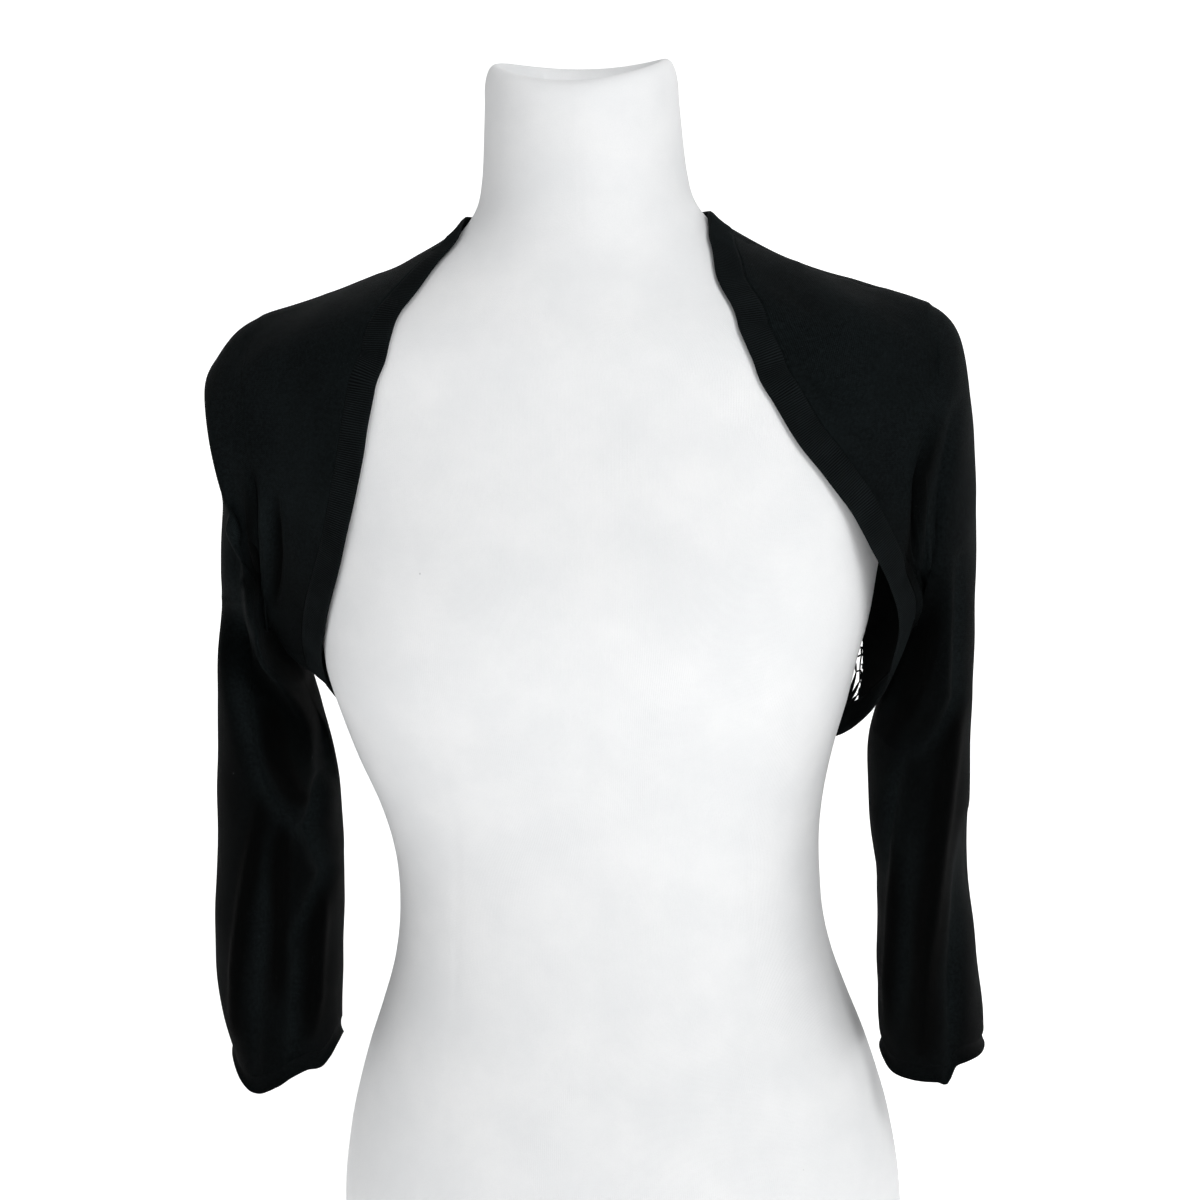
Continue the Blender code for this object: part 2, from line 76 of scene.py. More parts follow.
# The lace panel hangs from the yoke's lower seam. It is a little wider under the arms: half widths
# in mm at heights.
YOKE_LINE = 545
LACE_HALF_WIDTH = 147
LACE_HEIGHTS = (358, 378, 430, 545)
LACE_HALF_WIDTHS = (147, 151.5, 151.5, 147)
# Between these heights in mm the cloth is painted with a shade, darker lower down: at the
# lowest as dark as a fold that many mm deep.
LIT_ABOVE = 500.0
SHADED_BELOW = 390.0
LOW_SHADE_DEPTH = 3.3
# The power of the cosine that shares the cloth's gap between the side and the front or back.
SIDE_GAP_FALLOFF = 8
# By the right free edge the cloth clings at this gap in mm: up to this many mm above the edge, from
# this row of its table on, and less and less between these two turns in degrees.
CLOSE_GAP = 2.8
CLING_REACH = 46.0
CLING_FIRST_ROW = 5
CLING_TURNS = (20.0, 60.0)
# A small turn in degrees and a small rise in rows, for directions on a surface.
TURN_STEP = 0.5
RISE_STEP = 0.02
# Steps between two points of the opening's line, and lines that run over each armhole's halves.
CURVE_STEPS = 24
YOKE_LINES = 28
SIDE_LINES = 47
# A fold fades over this share of its length at each end, to this share of its rise, and it blends
# from the front to the back about this depth in mm, over this much.
FOLD_FADE = 0.25
FOLD_END = 0.25
FOLD_MIDDLE = 2
FOLD_BLEND = 6


@dataclass(frozen=True)
class Table:
    """Rows of numbers under named columns."""

    columns: tuple[str, ...]
    rows: tuple[tuple[float, ...], ...]

    def __getitem__(self, name: str) -> Array:
        """One column as an array."""
        return np.array([row[self.columns.index(name)] for row in self.rows], float)

    def __len__(self) -> int:
        """The number of rows."""
        return len(self.rows)


FORM = Table(("height", "half_width", "middle", "front", "back", "fullness", "lean"), (
    (0, 161, 8, 100, 112, 2.2, 0),
    (40, 163, 8, 103, 118, 2.2, 0),
    (80, 162, 8, 104, 122, 2.2, 0),
    (115, 157, 8, 103, 121, 2.2, 0),
    (140, 151, 7, 101, 116, 2.2, 0),
    (165, 143.5, 6, 98, 109, 2.2, 0),
    (190, 134.5, 5, 95, 101, 2.2, 0),
    (215, 126.5, 3, 92, 93, 2.2, 0),
    (240, 121.8, 0, 90, 86, 2.2, 0),
    (266, 120.5, -2, 89, 82, 2.2, 0),
    (290, 121.8, -4, 90, 80, 2.2, -0.9),
    (315, 126.5, -6, 93, 80, 2.25, -2.4),
    (343, 135, -8, 98, 82, 2.3, -4.4),
    (370, 143, -12, 105, 85, 2.35, -4.2),
    (395, 149, -16, 113, 89, 2.4, -3.8),
    (420, 153.5, -18, 120, 93, 2.4, -1.2),
    (445, 157, -18, 123, 97, 2.4, 0),
    (470, 162, -14, 120, 100, 2.4, 0),
    (495, 170, -8, 113, 102, 2.35, 0),
    (520, 179, -2, 105, 103, 2.3, 0),
    (545, 187, 4, 97, 101, 2.25, 0),
    (565, 190, 6, 91, 98, 2.2, 0),
    (578, 185, 7, 87, 95, 2.15, 0),
    (588, 170, 7, 83, 91, 2.1, 0),
    (596, 150, 7, 79, 87, 2.1, 0),
    (604, 127, 6, 75, 82, 2.1, 0),
    (613, 106, 4, 71, 77, 2.05, 0),
    (623, 87, 2, 66, 71, 2.05, 0),
    (634, 71, 0, 62, 65, 2.0, 0),
    (648, 60.5, -2, 58, 60, 2.0, 0),
    (664, 56.5, -3, 56, 57, 2.0, 0),
    (686, 54.5, -4, 54, 54, 2.0, 0),
    (706, 53.2, -4, 53, 52, 2.0, 0),
))  # fmt: skip
NECK_TOP = Table(("height", "inset", "side_rise"), (
    (706, 0, 0),
    (711, 0.2, 2),
    (715, 1.2, 4.5),
    (718, 3.2, 6.5),
    (719.5, 6.2, 7.2),
    (718.6, 9.4, 6.6),
    (716, 12.2, 5),
    (713, 15.5, 3.4),
    (711, 21, 2),
    (710.4, 30, 1),
    (710.6, 42, 0.3),
    (710.8, 52.6, 0),
))  # fmt: skip
GAP = Table(("height", "side", "front", "back"), (
    (318, 10, 3, 14),
    (345, 13, 3, 14),
    (370, 17, 3, 13),
    (385, 20, 4, 12),
    (397, 22, 5, 11),
    (418, 25, 4, 9),
    (445, 26, 3.2, 6),
    (470, 25, 2.8, 4),
    (495, 21, 2.8, 3),
    (520, 15, 2.8, 2.8),
    (545, 10, 2.8, 2.8),
    (565, 7, 2.8, 2.8),
    (583, 4, 2.8, 3.0),
    (604, 3.2, 2.8, 3.2),
    (650, 3.0, 2.8, 3.0),
))  # fmt: skip

# The opening's free edge: the turn is the angle from the side towards the front, so it is negative
# behind it.
LEFT_EDGE = (
    (0, 641), (12, 638), (30.5, 628), (49.5, 610), (61, 587), (62, 566), (58.5, 547), (53, 527),
    (44, 506), (34, 484.5), (23.5, 457), (15, 431), (9, 402), (0, 373), (-13, 349), (-27, 335),
    (-50, 325.5), (-70, 322), (-90, 321),
)  # fmt: skip
RIGHT_EDGE = (
    (0, 641), (20, 635), (31.5, 622), (47, 603), (58, 580), (57.5, 558), (54.5, 532), (50, 506),
    (44, 480), (36, 455), (27, 432), (17, 408), (8, 388), (0, 372), (-13, 349), (-27, 335),
    (-50, 325.5), (-70, 322), (-90, 321),
)  # fmt: skip
NECK_EDGE = ((0, 641), (-25, 638), (-55, 634), (-90, 633))

# Rings of each sleeve: the top of a ring is its outermost point and the bottom its innermost.
SLEEVE_COLUMNS = ("top_x", "top_z", "bottom_x", "bottom_z", "middle", "half_depth")
LEFT_SLEEVE = Table(SLEEVE_COLUMNS, (
    (191, 585, 181, 411, 3, 48),
    (198, 580, 179.5, 405, 3, 48),
    (204, 569, 176.5, 397, 3, 48),
    (208, 548, 171, 388, 3, 48),
    (210.5, 520, 164.5, 378, 2, 47),
    (211, 488, 159, 368, 1, 46),
    (211, 452, 154, 357, 0, 46),
    (210.5, 415, 150.5, 345, 0, 45),
    (208.5, 375, 149, 330, -1, 44),
    (206.2, 330, 149.5, 309, -1, 44),
    (205, 288, 151.5, 281, -2, 44),
    (205.5, 250, 153.5, 249, -2, 44),
    (209, 216, 153.3, 216, -2, 44),
    (211.5, 184, 153.2, 184, -2, 43),
    (211.7, 160, 153.4, 160, -2, 42),
))  # fmt: skip
RIGHT_SLEEVE = Table(SLEEVE_COLUMNS, (
    (191, 586, 183.5, 411, 3, 48),
    (200, 581, 182.5, 405, 3, 48),
    (209.5, 570, 180, 398, 2, 48),
    (217, 555, 176.5, 390, 1, 48),
    (212.5, 532, 173, 381, 0, 48),
    (209, 498, 171.5, 372, -1, 47),
    (212.5, 460, 167, 362, -2, 46),
    (216.5, 423, 161.5, 350, -3, 45),
    (219, 382, 158, 336, -4, 44),
    (221.3, 337, 154.8, 314, -4, 43),
    (224.5, 292, 154, 286, -4, 42),
    (228, 253, 156, 253, -4, 42),
    (229.5, 219, 158, 220, -4, 42),
    (227.5, 188, 160, 190, -4, 42),
    (222, 162, 161, 162, -4, 42),
))  # fmt: skip

# How far each cuff drops, in mm, at turns in degrees from the sleeve's outermost point by the
# front.
LEFT_DROPS = (
    (0, -4), (30, -5), (52, -5), (64, -3), (73, 7), (84, 5), (110, 4), (135, 2), (160, -4),
    (180, -4), (220, 3), (270, 6), (320, 2),
)  # fmt: skip
RIGHT_DROPS = (
    (0, -5), (25, 0), (45, 9), (66, 15), (84, 12), (102, 5), (122, 1), (140, 2), (156, -2),
    (170, -6), (190, -6), (230, 4), (280, 8), (330, 0),
)  # fmt: skip


class Side(Enum):
    """The wearer's side."""

    LEFT = "left"
    RIGHT = "right"


class Face(Enum):
    """The half of the garment that a fold lies on."""

    FRONT = -1
    BACK = 1


# ---------------------------------------------------------------- the body's shape


FORM_HEIGHTS = FORM["height"]


def level_of(height: Any) -> Any:
    """The place of a height in mm along the form's rows, counted in rows."""
    return np.interp(height, FORM_HEIGHTS, np.arange(len(FORM_HEIGHTS)))


def smooth_value(values: Array, level: Any) -> Array:
    """A value between rows, on a Catmull-Rom curve through them.

    Args:
        values: One number or point for each row.
        level: The places asked for, counted in rows.

    Returns:
        The values there: each is a cubic of the four rows round it.
    """
    level = np.clip(np.asarray(level, float), 0, len(values) - 1)
    row = np.minimum(level.astype(int), len(values) - 2)
    t = (level - row).reshape(level.shape + (1,) * (values.ndim - 1))
    rows = [np.clip(row + step, 0, len(values) - 1) for step in (-1, 0, 1, 2)]
    before, here, after, beyond = (values[row] for row in rows)
    bend = 2 * before - 5 * here + 4 * after - beyond
    twist = 3 * here - before - 3 * after + beyond
    return here + 0.5 * t * (after - before + t * (bend + t * twist))


def unit(vectors: Array) -> Array:
    """The vectors at length 1."""
    return vectors / np.maximum(np.linalg.norm(vectors, axis=-1, keepdims=True), 1e-12)


def squared_off(wave: Array, fullness: Any) -> Array:
    """A superellipse's coordinate: a sine or cosine to the power of two over its fullness."""
    return np.sign(wave) * np.abs(wave) ** (2 / fullness)


def paired(*values: Any) -> Array:
    """Numbers broadcast together and set side by side along a last axis."""
    return np.stack(np.broadcast_arrays(*values), -1)


def eased(share: Array) -> Array:
    """A smooth step: 0 up to a share of 0, and 1 from a share of 1 on."""
    share = np.clip(share, 0, 1)
    return share * share * (3 - 2 * share)


def lengths_along(lines: Array) -> Array:
    """The length along each line up to each of its points, on the last axis but one."""
    steps = np.cumsum(np.linalg.norm(np.diff(lines, axis=-2), axis=-1), axis=-1)
    return np.concatenate([np.zeros((*steps.shape[:-1], 1)), steps], axis=-1)


def form_point(angle: Any, level: Any) -> Array:
    """Points of the form's skin.

    Args:
        angle: Degrees round the body.
        level: Rows up the form.

    Returns:
        Points in metres. Each ring is a superellipse: x and y are the cosine and the sine, each
        raised to two over the ring's fullness, times the half width and the depth in front or
        behind.
    """
    angle, level = np.broadcast_arrays(np.radians(angle), np.asarray(level, float))
    row = {name: smooth_value(FORM[name], level) for name in FORM.columns}
    cos, sin = np.cos(angle), np.sin(angle)
    depth = np.where(sin < 0, row["front"] + row["middle"], row["back"] - row["middle"])
    x = row["lean"] + row["half_width"] * squared_off(cos, row["fullness"])
    y = row["middle"] + depth * squared_off(sin, row["fullness"])
    return np.stack([x, y, row["height"]], -1) * MM


def lean_of(level: Any) -> Array:
    """How far the body's middle leans towards +X at levels, in metres."""
    return smooth_value(FORM["lean"], np.asarray(level, float)) * MM


def form_normal(angle: Any, level: Any) -> Array:
    """The form's outward direction: the cross product of a small turn and a small rise."""
    angle, level = np.asarray(angle, float), np.asarray(level, float)
    around = form_point(angle + TURN_STEP, level) - form_point(angle - TURN_STEP, level)
    upward = form_point(angle, level + RISE_STEP) - form_point(angle, level - RISE_STEP)
    return unit(np.cross(around, upward))


def clinging(angle: Array, height: Array) -> Array:
    """Where the cloth clings to the form, by the free edge on the wearer's right side.

    Args:
        angle: Radians round the body.
        height: Millimetres above the base.

    Returns:
        0 at the edge, rising smoothly to 1 at a cling's reach above it, and 1 on the other side and
        at the back.
    """
    edge = np.array(RIGHT_EDGE[CLING_FIRST_ROW:], float)[::-1]
    turn = np.degrees(np.pi - np.mod(angle, 2 * np.pi))
    free = eased((height - np.interp(-turn, edge[:, 0], edge[:, 1])) / CLING_REACH)
    behind = np.clip((turn - CLING_TURNS[0]) / (CLING_TURNS[1] - CLING_TURNS[0]), 0, 1)
    share = np.where(np.cos(angle) < 0, 1 - behind, 0)
    return 1 - share * (1 - free)


def cloth_gap(angle: Any, level: Any) -> Array:
    """How far the middle of the cloth stands off the form.

    Args:
        angle: Degrees round the body.
        level: Rows up the form.

    Returns:
        The gap in metres: the eighth power of the cosine shares it between the side's gap and the
        front's or back's.
    """
    height = smooth_value(FORM_HEIGHTS, level)
    place = np.interp(height, GAP["height"], np.arange(len(GAP)))
    side, front, back = (smooth_value(GAP[name], place) for name in ("side", "front", "back"))
    angle = np.radians(angle)
    sideways = np.abs(np.cos(angle)) ** SIDE_GAP_FALLOFF
    towards_front = 0.5 - 0.5 * np.tanh(np.sin(angle) * 8)
    level_gap = back + (front - back) * towards_front
    gap = sideways * side + (1 - sideways) * level_gap
    return (CLOSE_GAP + (gap - CLOSE_GAP) * clinging(angle, height)) * MM


def body_point(angle: Any, level: Any) -> Array:
    """Points on the middle of the cloth: the form's skin moved out along its normal by the gap."""
    angle, level = np.broadcast_arrays(np.asarray(angle, float), np.asarray(level, float))
    return form_point(angle, level) + form_normal(angle, level) * cloth_gap(angle, level)[..., None]


def on_body(places: Array) -> Array:
    """Places, as (angle, level), as points on the middle of the cloth."""
    return body_point(places[..., 0], places[..., 1])


def surface_frame(places: Array) -> tuple[Array, Array, Array]:
    """The cloth's outward direction and its two tangents.

    Args:
        places: Places on the cloth, as (angle, level).

    Returns:
        The unit normal, the tangent for a degree round and the tangent for a row up.
    """
    angle, level = places[..., 0], places[..., 1]
    around = body_point(angle + TURN_STEP, level) - body_point(angle - TURN_STEP, level)
    upward = body_point(angle, level + RISE_STEP) - body_point(angle, level - RISE_STEP)
    return unit(np.cross(around, upward)), around / (2 * TURN_STEP), upward / (2 * RISE_STEP)


def moved_along(places: Array, direction: Array, distance: float, steps: int = 4) -> Array:
    """Places moved along the cloth.

    Args:
        places: Places on the cloth, as (angle, level).
        direction: A unit direction in space for each place.
        distance: How far each moves, in metres.
        steps: How many short straight moves make the way.

    Returns:
        The new places: each step solves for the turn and the rise that make the move in the cloth's
        own tangents.
    """
    for _ in range(steps):
        _, around, upward = surface_frame(places)
        aa, au, uu = (around * around).sum(-1), (around * upward).sum(-1), (upward * upward).sum(-1)
        da, du = (direction * around).sum(-1), (direction * upward).sum(-1)
        scale = distance / steps / (aa * uu - au * au)
        places = places + np.stack([(da * uu - du * au) * scale, (du * aa - da * au) * scale], -1)
    return places


def side_row(edge: Sequence[Point]) -> int:
    """The row of an edge table that lies at the side, under the arm."""
    return max(row for row, (turn, _) in enumerate(edge) if turn == 0)


def mirrored(places: Array) -> Array:
    """The same places on the other side of the body."""
    return places * (-1, 1) + (180, 0)


class Opening:
    """The opening's free edge in four runs between seams, with the band's outer line beside it."""

    def __init__(self) -> None:
        """Draws a smooth closed line through the edge tables, and one a band's width inside it."""
        left = [(-turn, height) for turn, height in LEFT_EDGE]
        right = [(180 + turn, height) for turn, height in RIGHT_EDGE][-2::-1]
        neck_right = [(180 + turn, height) for turn, height in NECK_EDGE][1:]
        neck_left = [(-turn, height) for turn, height in NECK_EDGE][-2:0:-1]
        control = np.array(left + right + neck_right + neck_left, float)
        control[:, 1] = level_of(control[:, 1])
        shoulder = len(left) + len(right) - 1
        self.seams = {
            "front_left": (0, side_row(LEFT_EDGE)),
            "hem": (side_row(LEFT_EDGE), shoulder - side_row(RIGHT_EDGE)),
            "front_right": (shoulder - side_row(RIGHT_EDGE), shoulder),
            "neck": (shoulder, len(control)),
        }
        place = np.arange(len(control) * CURVE_STEPS + 1) / CURVE_STEPS
        around = np.concatenate([control[-1:], control, control[:2]])
        self.line = smooth_value(around, place + 1)
        points = on_body(self.line)
        self.length = lengths_along(points)
        tangent = np.gradient(np.concatenate([points[-3:-1], points, points[1:3]]), axis=0)[2:-2]
        away = unit(np.cross(surface_frame(self.line)[0], tangent))
        self.outer = moved_along(self.line, away, BAND_WIDTH)

    def run_length(self, run: str) -> float:
        """The length of a run's free edge, in metres."""
        start, end = (self.length[CURVE_STEPS * seam] for seam in self.seams[run])
        return float(end - start)

    def sampled(self, run: str, fractions: Array) -> tuple[Array, Array]:
        """A run's two lines.

        Args:
            run: The run's name.
            fractions: Shares of the run's length, from 0 to 1.

        Returns:
            Places on the free edge and beside them on the band's outer line.
        """
        start, end = (self.length[CURVE_STEPS * seam] for seam in self.seams[run])
        at = start + (end - start) * np.asarray(fractions)
        edge, outer = (
            np.stack([np.interp(at, self.length, track[:, k]) for k in range(2)], -1)
            for track in (self.line, self.outer)
        )
        return edge, outer


def armhole(turns: Array, towards: int) -> Array:
    """Places on the armhole's seam.

    Args:
        turns: From 0 at the shoulder's tip to pi under the arm.
        towards: -1 for the front's half and +1 for the back's.

    Returns:
        Places on a superellipse whose middle swings back as it goes down.
    """
    height = ARMHOLE_MIDDLE + ARMHOLE_HALF * squared_off(np.cos(turns), ARMHOLE_FULLNESS)
    swing = ARMHOLE_SWING * (1 - np.cos(turns)) / 2
    reach = ARMHOLE_ANGLE * squared_off(np.sin(turns), ARMHOLE_FULLNESS)
    return np.stack([swing + towards * reach, level_of(height)], -1)


def yoke_turn() -> float:
    """How far round the armhole the yoke's lower seam meets it."""
    return math.acos(((YOKE_LINE - ARMHOLE_MIDDLE) / ARMHOLE_HALF) ** (ARMHOLE_FULLNESS / 2))


def angle_at_width(levels: Array, half_width: Array) -> Array:
    """The angle behind the side at which the cloth is a half width in mm from the body's middle."""
    angles = np.linspace(89, 0, 179)
    widths = body_point(angles, levels[:, None])[..., 0] - lean_of(levels)[:, None]
    pairs = zip(half_width * MM, widths)
    return np.array([np.interp(half, width, angles) for half, width in pairs])


def straight(start: Array, end: Array, count: int) -> Array:
    """Places on a straight line in angle and level, with the count of steps given."""
    return np.linspace(start, end, count + 1)


def coons(top: Array, bottom: Array, first: Array, last: Array) -> Array:
    """A grid of places that fills four border lines.

    Args:
        top: The first row.
        bottom: The last row.
        first: The first column.
        last: The last column.

    Returns:
        Rows from top to bottom: the two ruled surfaces between facing borders added, less the one
        of the corners.
    """
    u = np.linspace(0, 1, len(top))[None, :, None]
    t = np.linspace(0, 1, len(first))[:, None, None]
    ruled = top[None] * (1 - t) + bottom[None] * t + first[:, None] * (1 - u) + last[:, None] * u
    corner_tops, corner_feet = (line[0] * (1 - u) + line[-1] * u for line in (top, bottom))
    return ruled - (corner_tops * (1 - t) + corner_feet * t)


# ---------------------------------------------------------------- folds


@dataclass(frozen=True)
class Fold:
    """A soft ridge, or with a negative rise a trough, along a line seen from the front."""

    face: Face
    rise: float
    width: float
    line: tuple[Point, ...]

    def lift(self, points: Array) -> Array:
        """How far the fold moves points out.

        Args:
            points: Points in mm.

        Returns:
            Millimetres: a bell curve of the distance to the line, faded in and out along it.
        """
        line = np.array(self.line, float)
        start, way = line[:-1], np.diff(line, axis=0)
        run = np.linalg.norm(way, axis=1)
        flat = points[..., None, (0, 2)] - start
        share = np.clip((flat * way).sum(-1) / run**2, 0, 1)
        distance = np.linalg.norm(flat - share[..., None] * way, axis=-1)
        nearest = distance.argmin(-1)
        reach = np.take_along_axis(distance, nearest[..., None], -1)[..., 0]
        before = np.concatenate([[0], np.cumsum(run)[:-1]])[nearest]
        along = before + np.take_along_axis(share, nearest[..., None], -1)[..., 0] * run[nearest]
        fade = np.clip(np.minimum(along, run.sum() - along) / (FOLD_FADE * run.sum()), 0, 1) ** 0.8
        side = 0.5 + 0.5 * np.tanh(self.face.value * (points[..., 1] - FOLD_MIDDLE) / FOLD_BLEND)
        height = self.rise * (FOLD_END + (1 - FOLD_END) * fade) * side
        return height * np.exp(-((reach / self.width) ** 2))


FRONT, BACK = Face.FRONT, Face.BACK
# Folds as (rise, width, line of (x, z)), in mm.
FRONT_FOLDS = (
    # The wearer's left sleeve and front.
    (3.6, 3.6, ((203, 541), (196, 513), (190, 488), (188, 462), (183, 437), (179, 422))),
    (-4, 4, ((192, 530), (183, 500), (179, 470), (175, 440))),
    (4.8, 4, ((203, 455), (203, 423), (201, 374), (190, 356), (178, 344))),
    (-6.5, 4.8, ((199, 366), (191, 315), (186, 271), (181, 227), (178, 170))),
    (5.2, 4.8, ((205, 300), (202, 276), (196, 216), (193, 155))),
    (4.4, 4, ((172, 345), (165, 328), (158, 294), (155, 262))),
    (2.9, 4.8, ((173, 300), (170, 240), (166, 185))),
    (-3.2, 3.1, ((165, 290), (162, 235), (158, 175))),
    (-4.4, 4, ((190, 425), (182, 392), (172, 366), (162, 350))),
    (-0.8, 2.6, ((120, 565), (127, 556), (141, 538), (155, 520))),
    (0.9, 3.4, ((100, 622), (118, 611), (140, 599), (152, 592))),
    (-0.7, 4, ((96, 612), (114, 602), (134, 590))),
    # The wearer's right sleeve and front.
    (4, 4.8, ((-200, 519), (-197, 492), (-202, 441), (-205, 410), (-202, 381), (-196, 357))),
    (-4.4, 4, ((-185, 512), (-186, 473), (-189, 454), (-191, 433), (-193, 405))),
    (3.2, 3.6, ((-178, 500), (-179, 470), (-180, 444), (-178, 424))),
    (-3.6, 3.1, ((-170, 500), (-171, 486), (-171, 468), (-174, 452), (-178, 436))),
    (5.6, 4.8, ((-204, 415), (-203, 380), (-195, 351), (-187, 325), (-176, 307), (-168, 298))),
    (5.6, 4.3, ((-163, 377), (-157, 333), (-166, 304), (-160, 276), (-169, 255), (-181, 235))),
    (-5.2, 4, ((-188, 372), (-181, 345), (-172, 325), (-165, 318))),
    (-4.8, 4, ((-190, 322), (-199, 286), (-205, 260), (-212, 219), (-215, 185))),
    (-4, 3.6, ((-178, 312), (-182, 280), (-184, 247), (-188, 205))),
    (4, 4.3, ((-190, 300), (-194, 255), (-200, 205), (-204, 165))),
    (-4.8, 4, ((-163, 275), (-165, 245), (-168, 215), (-172, 175))),
    (3.6, 4, ((-176, 235), (-180, 200), (-182, 165))),
    (7, 9, ((-197, 448), (-189, 418), (-176, 399), (-165, 386))),
)
BACK_FOLDS = (
    # The back of the wearer's left sleeve.
    (4.4, 5.6, ((200, 500), (196, 440), (188, 390), (180, 350))),
    (-5.2, 4.8, ((196, 420), (188, 350), (182, 280), (184, 200))),
    (4.4, 4.8, ((203, 330), (196, 270), (192, 200), (190, 155))),
    (3.6, 4.8, ((172, 350), (166, 290), (160, 220), (163, 165))),
    # The back of the wearer's right sleeve.
    (4.4, 5.6, ((-204, 505), (-200, 445), (-192, 395), (-184, 352))),
    (-5.2, 4.8, ((-198, 420), (-194, 350), (-198, 280), (-206, 200))),
    (4.8, 4.8, ((-210, 335), (-206, 270), (-214, 205), (-212, 165))),
    (3.6, 4.8, ((-172, 355), (-168, 290), (-174, 225), (-180, 170))),
    (-3.6, 4.8, ((-180, 330), (-178, 270), (-188, 200))),
    # The back, where the cloth hangs between the shoulders and the band.
    (1.2, 9, ((-150, 560), (-120, 520), (-110, 470), (-118, 420))),
    (1.2, 9, ((152, 560), (124, 515), (112, 460), (120, 410))),
    (0.9, 8, ((-60, 600), (-20, 585), (30, 588), (70, 602))),
    (-0.8, 8, ((-50, 575), (0, 562), (55, 578))),
)
FOLDS = [
    *(Fold(FRONT, *row) for row in FRONT_FOLDS),
    *(Fold(BACK, *row) for row in BACK_FOLDS),
]

# The sleeves' fronts are set back below the fronts' lower edges, by as many mm as these rise.
HOLLOWS = (
    Fold(FRONT, 26, 15, ((183, 446), (178, 420), (173, 396), (167, 374), (158, 350))),
    Fold(FRONT, 26, 11, ((-209, 434), (-200, 402), (-188, 380), (-177, 361), (-163, 343))),
    Fold(FRONT, -9, 9, ((-196, 446), (-187, 418), (-175, 399), (-164, 386))),
)

# Small puckers along the shoulder seam: x, z, how far each rises and how wide it is, in mm.
PUCKERS = (
    (115, 611, 0.7, 3.5),
    (127, 608, 0.5, 3.0),
    (143, 602, 0.8, 4.0),
    (163, 595, 0.7, 4.0),
    (189, 588, 0.6, 4.5),
    (-120, 609, 0.5, 4.0),
    (-150, 600, 0.6, 4.5),
)

# Slow unevenness: each wave's radians per metre along x, y and z, its start and its height in mm.
WAVES = (
    ((60, 20, 35), 0.4, 0.30),
    ((-45, 70, 80), 1.9, 0.24),
    ((110, -40, 95), 3.1, 0.18),
    ((20, 130, -120), 4.4, 0.14),
    ((160, 60, 150), 5.3, 0.10),
    ((-210, 90, 60), 0.9, 0.08),
)


def drape(points: Array, share: float = 1.0) -> Array:
    """How far the cloth's folds and unevenness move points out.

    Args:
        points: Points in metres.
        share: How much of the unevenness counts.

    Returns:
        Metres: the sum of the folds, the puckers and a few slow waves.
    """
    lift = np.zeros(points.shape[:-1])
    in_mm = points / MM
    for fold in FOLDS:
        lift += fold.lift(in_mm)
    for x, z, rise, width in PUCKERS:
        away = np.hypot(in_mm[..., 0] - x, in_mm[..., 2] - z) / width
        lift += rise * np.exp(-(away**2)) * np.exp(-(((in_mm[..., 1] - 4) / 12) ** 2))
    for wave, start, height in WAVES:
        lift += share * height * np.sin(points @ np.array(wave, float) + start)
    return lift * MM


def lower_shade(points: Array) -> Array:
    """How much painted shade the cloth gets low down, in mm of lift: a smooth step in height."""
    return -LOW_SHADE_DEPTH * eased((LIT_ABOVE - points[..., 2] / MM) / (LIT_ABOVE - SHADED_BELOW))


# ---------------------------------------------------------------- meshes


def grid_faces(rows: int, columns: int, closed: bool) -> Array:
    """The quads of a grid of points in rows, joined round when it is closed."""
    wrap = columns if closed else columns - 1
    row, i = np.meshgrid(np.arange(rows - 1), np.arange(wrap), indexing="ij")
    row, after = row * columns, (i + 1) % columns
    quads = [row + i, row + after, row + columns + after, row + columns + i]
    return np.stack(quads, -1).reshape(-1, 4)


def flat_lengths(grid: Array, closed: bool) -> Array:
    """The flat place of each point of a grid, for the grain of the cloth.

    Args:
        grid: Points in rows, in metres.
        closed: Whether each row is a ring.

    Returns:
        For each point, and once more for the first of a ring, metres round at the mean ring and
        metres down.
    """
    ring = np.concatenate([grid, grid[:, :1]], axis=1) if closed else grid
    around = np.linalg.norm(np.diff(ring, axis=1), axis=-1).mean(axis=0)
    down = np.linalg.norm(np.diff(ring, axis=0), axis=-1)
    u = np.concatenate([[0], np.cumsum(around)])
    v = np.concatenate([np.zeros((1, ring.shape[1])), np.cumsum(down, axis=0)])
    v = v.mean(axis=1, keepdims=True) * 0.5 + v * 0.5
    return np.stack([np.broadcast_to(u, v.shape), v], -1)


